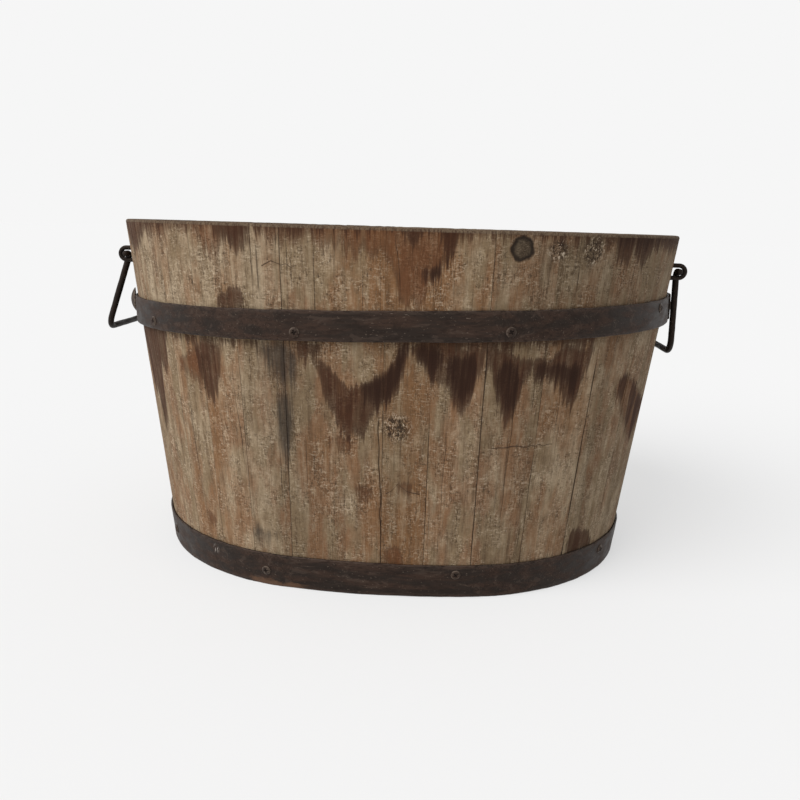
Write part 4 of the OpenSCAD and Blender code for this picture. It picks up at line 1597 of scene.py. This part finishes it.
# %% Cover the iron pieces
IRONS = [
    (hoops, "rusted hoop iron", (34, 29, 26), (50, 38, 32), (23, 18, 16), (70, 59, 52)),
    (worn_fasteners, "rusted fastener iron", (46, 38, 33), (56, 44, 37), (32, 26, 23), (100, 89, 78)),
    (handles, "black wire iron", (22, 19, 17), (32, 25, 21), (14, 12, 11), (40, 34, 30)),
]
for pieces, name, *tones in IRONS:
    old_iron(pieces, name, *(paint(*tone) for tone in tones))
print("pieces of iron:", sum(len(row[0]) for row in IRONS))

# %% [markdown]
# ## The place it stands in
# The tub stands on a white sweep in soft light from the left. A white that is bright enough to show
# white would light the wood too strongly from below. So the floor and the sky are a plain white for
# the rays that look at them, straight or by reflection, and duller for those that carry light.

# %% Lay the floor
SWEEP, SWEEP_REACH, SWEEP_GLOW = paint(246, 246, 246), 30, 0.6
SWEEP_GREY = (0.84, 0.84, 0.84, 1)


def looks(mixture):
    """One for the rays that look at a thing, straight or by reflection, and nought for others."""
    path = mixture.node("LightPath").outputs
    return mixture.total(path["Is Camera Ray"], path["Is Glossy Ray"], path["Is Transmission Ray"])


def seen_as(mixture, amount, plain, shown, surface):
    """Blends what lights the tub with what is shown, and puts it on a surface."""
    blend = mixture.node("MixShader")
    for socket, value in zip(blend.inputs, (amount, plain.outputs[0], shown.outputs[0])):
        mixture.put(socket, value)
    mixture.put(mixture.tree.nodes[surface].inputs["Surface"], blend.outputs[0])


corners = [(x * SWEEP_REACH, y * SWEEP_REACH, 0) for x, y in ((-1, -1), (1, -1), (1, 1), (-1, 1))]
floor_mesh = bpy.data.meshes.new("white_sweep")
floor_mesh.from_pydata(corners, [], [(0, 1, 2, 3)])
floor = bpy.data.objects.new("white_sweep", floor_mesh)
bpy.context.scene.collection.objects.link(floor)
sweep = Finish("white sweep", 0.9, 0)
sweep.cover(SWEEP_GREY, [floor])
glow = sweep.node("Emission")
glow.inputs["Color"].default_value = SWEEP
amount = sweep.times(looks(sweep), SWEEP_GLOW)
seen_as(sweep, amount, sweep.surface, glow, "Material Output")
sweep.tell("white sweep")

# %% [markdown]
# The light comes from the sky and from one wide, soft sun, high up at the left and in front, which
# gives the faint shadow to the right. Lamps close by would do as well, but their light would fall
# off across the tub.

# %% Hang the sun and the sky
SUN_AIM, SUN_STRENGTH, SUN_SOFTNESS = Vector((0.54, 0.54, -0.64)), 2.7, math.radians(50)
SKY_STRENGTH = 0.55
sun_light = bpy.data.lights.new("soft_sun", "SUN")
sun_light.energy = SUN_STRENGTH
sun_light.angle = SUN_SOFTNESS
sun = bpy.data.objects.new("soft_sun", sun_light)
sun.rotation_euler = SUN_AIM.to_track_quat("-Z", "Y").to_euler()
bpy.context.scene.collection.objects.link(sun)
white_sky = bpy.data.worlds.new("white_sky")
white_sky.use_nodes = True
bpy.context.scene.world = white_sky
sky = Mixture(white_sky.node_tree)
sky_light = sky.tree.nodes["Background"]
sky_light.inputs["Color"].default_value = (1, 1, 1, 1)
sky_light.inputs["Strength"].default_value = SKY_STRENGTH
sky_shown = sky.node("Background")
sky_shown.inputs["Color"].default_value = SWEEP
seen_as(sky, looks(sky), sky_light, sky_shown, "World Output")
sky.tell("white sky")

# %% [markdown]
# ## The camera
# The photo was taken with the eye level with the rim, not quite a metre away. The heading, dip,
# roll and lens were found by matching the rim, the hoops and the screws. A constraint that looks at
# the tub has no roll, so the axes of the camera are worked out from those few numbers instead.

# %% Set the camera
HEADING, DIP, ROLL = -0.05, 0.2104, 0.031
EYE, LENS, SENSOR = (0.05063, -0.94075, 0.352), 36.84, 36
CLIP_NEAR, CLIP_FAR = 0.05, 200
across = Vector((math.cos(HEADING), -math.sin(HEADING), 0))
level = Vector((math.sin(HEADING), math.cos(HEADING), 0))
ahead = level * math.cos(DIP) - Vector((0, 0, math.sin(DIP)))
above = level * math.sin(DIP) + Vector((0, 0, math.cos(DIP)))
right = across * math.cos(ROLL) + above * math.sin(ROLL)
upward = above * math.cos(ROLL) - across * math.sin(ROLL)
eye_data = bpy.data.cameras.new("photo_eye")
eye_data.sensor_width = SENSOR
eye_data.lens = LENS
eye_data.clip_start, eye_data.clip_end = CLIP_NEAR, CLIP_FAR
eye = bpy.data.objects.new("photo_eye", eye_data)
axes = Matrix((right, upward, -ahead)).transposed().to_4x4()
eye.matrix_world = Matrix.Translation(EYE) @ axes
bpy.context.scene.collection.objects.link(eye)
bpy.context.scene.camera = eye
bpy.context.scene.view_settings.view_transform = "Standard"
print("the eye is above the floor by, mm:", round(EYE[2] / MM))

# %% [markdown]
# ## Size and finish
# The worn tub must not have grown beyond the measured one.
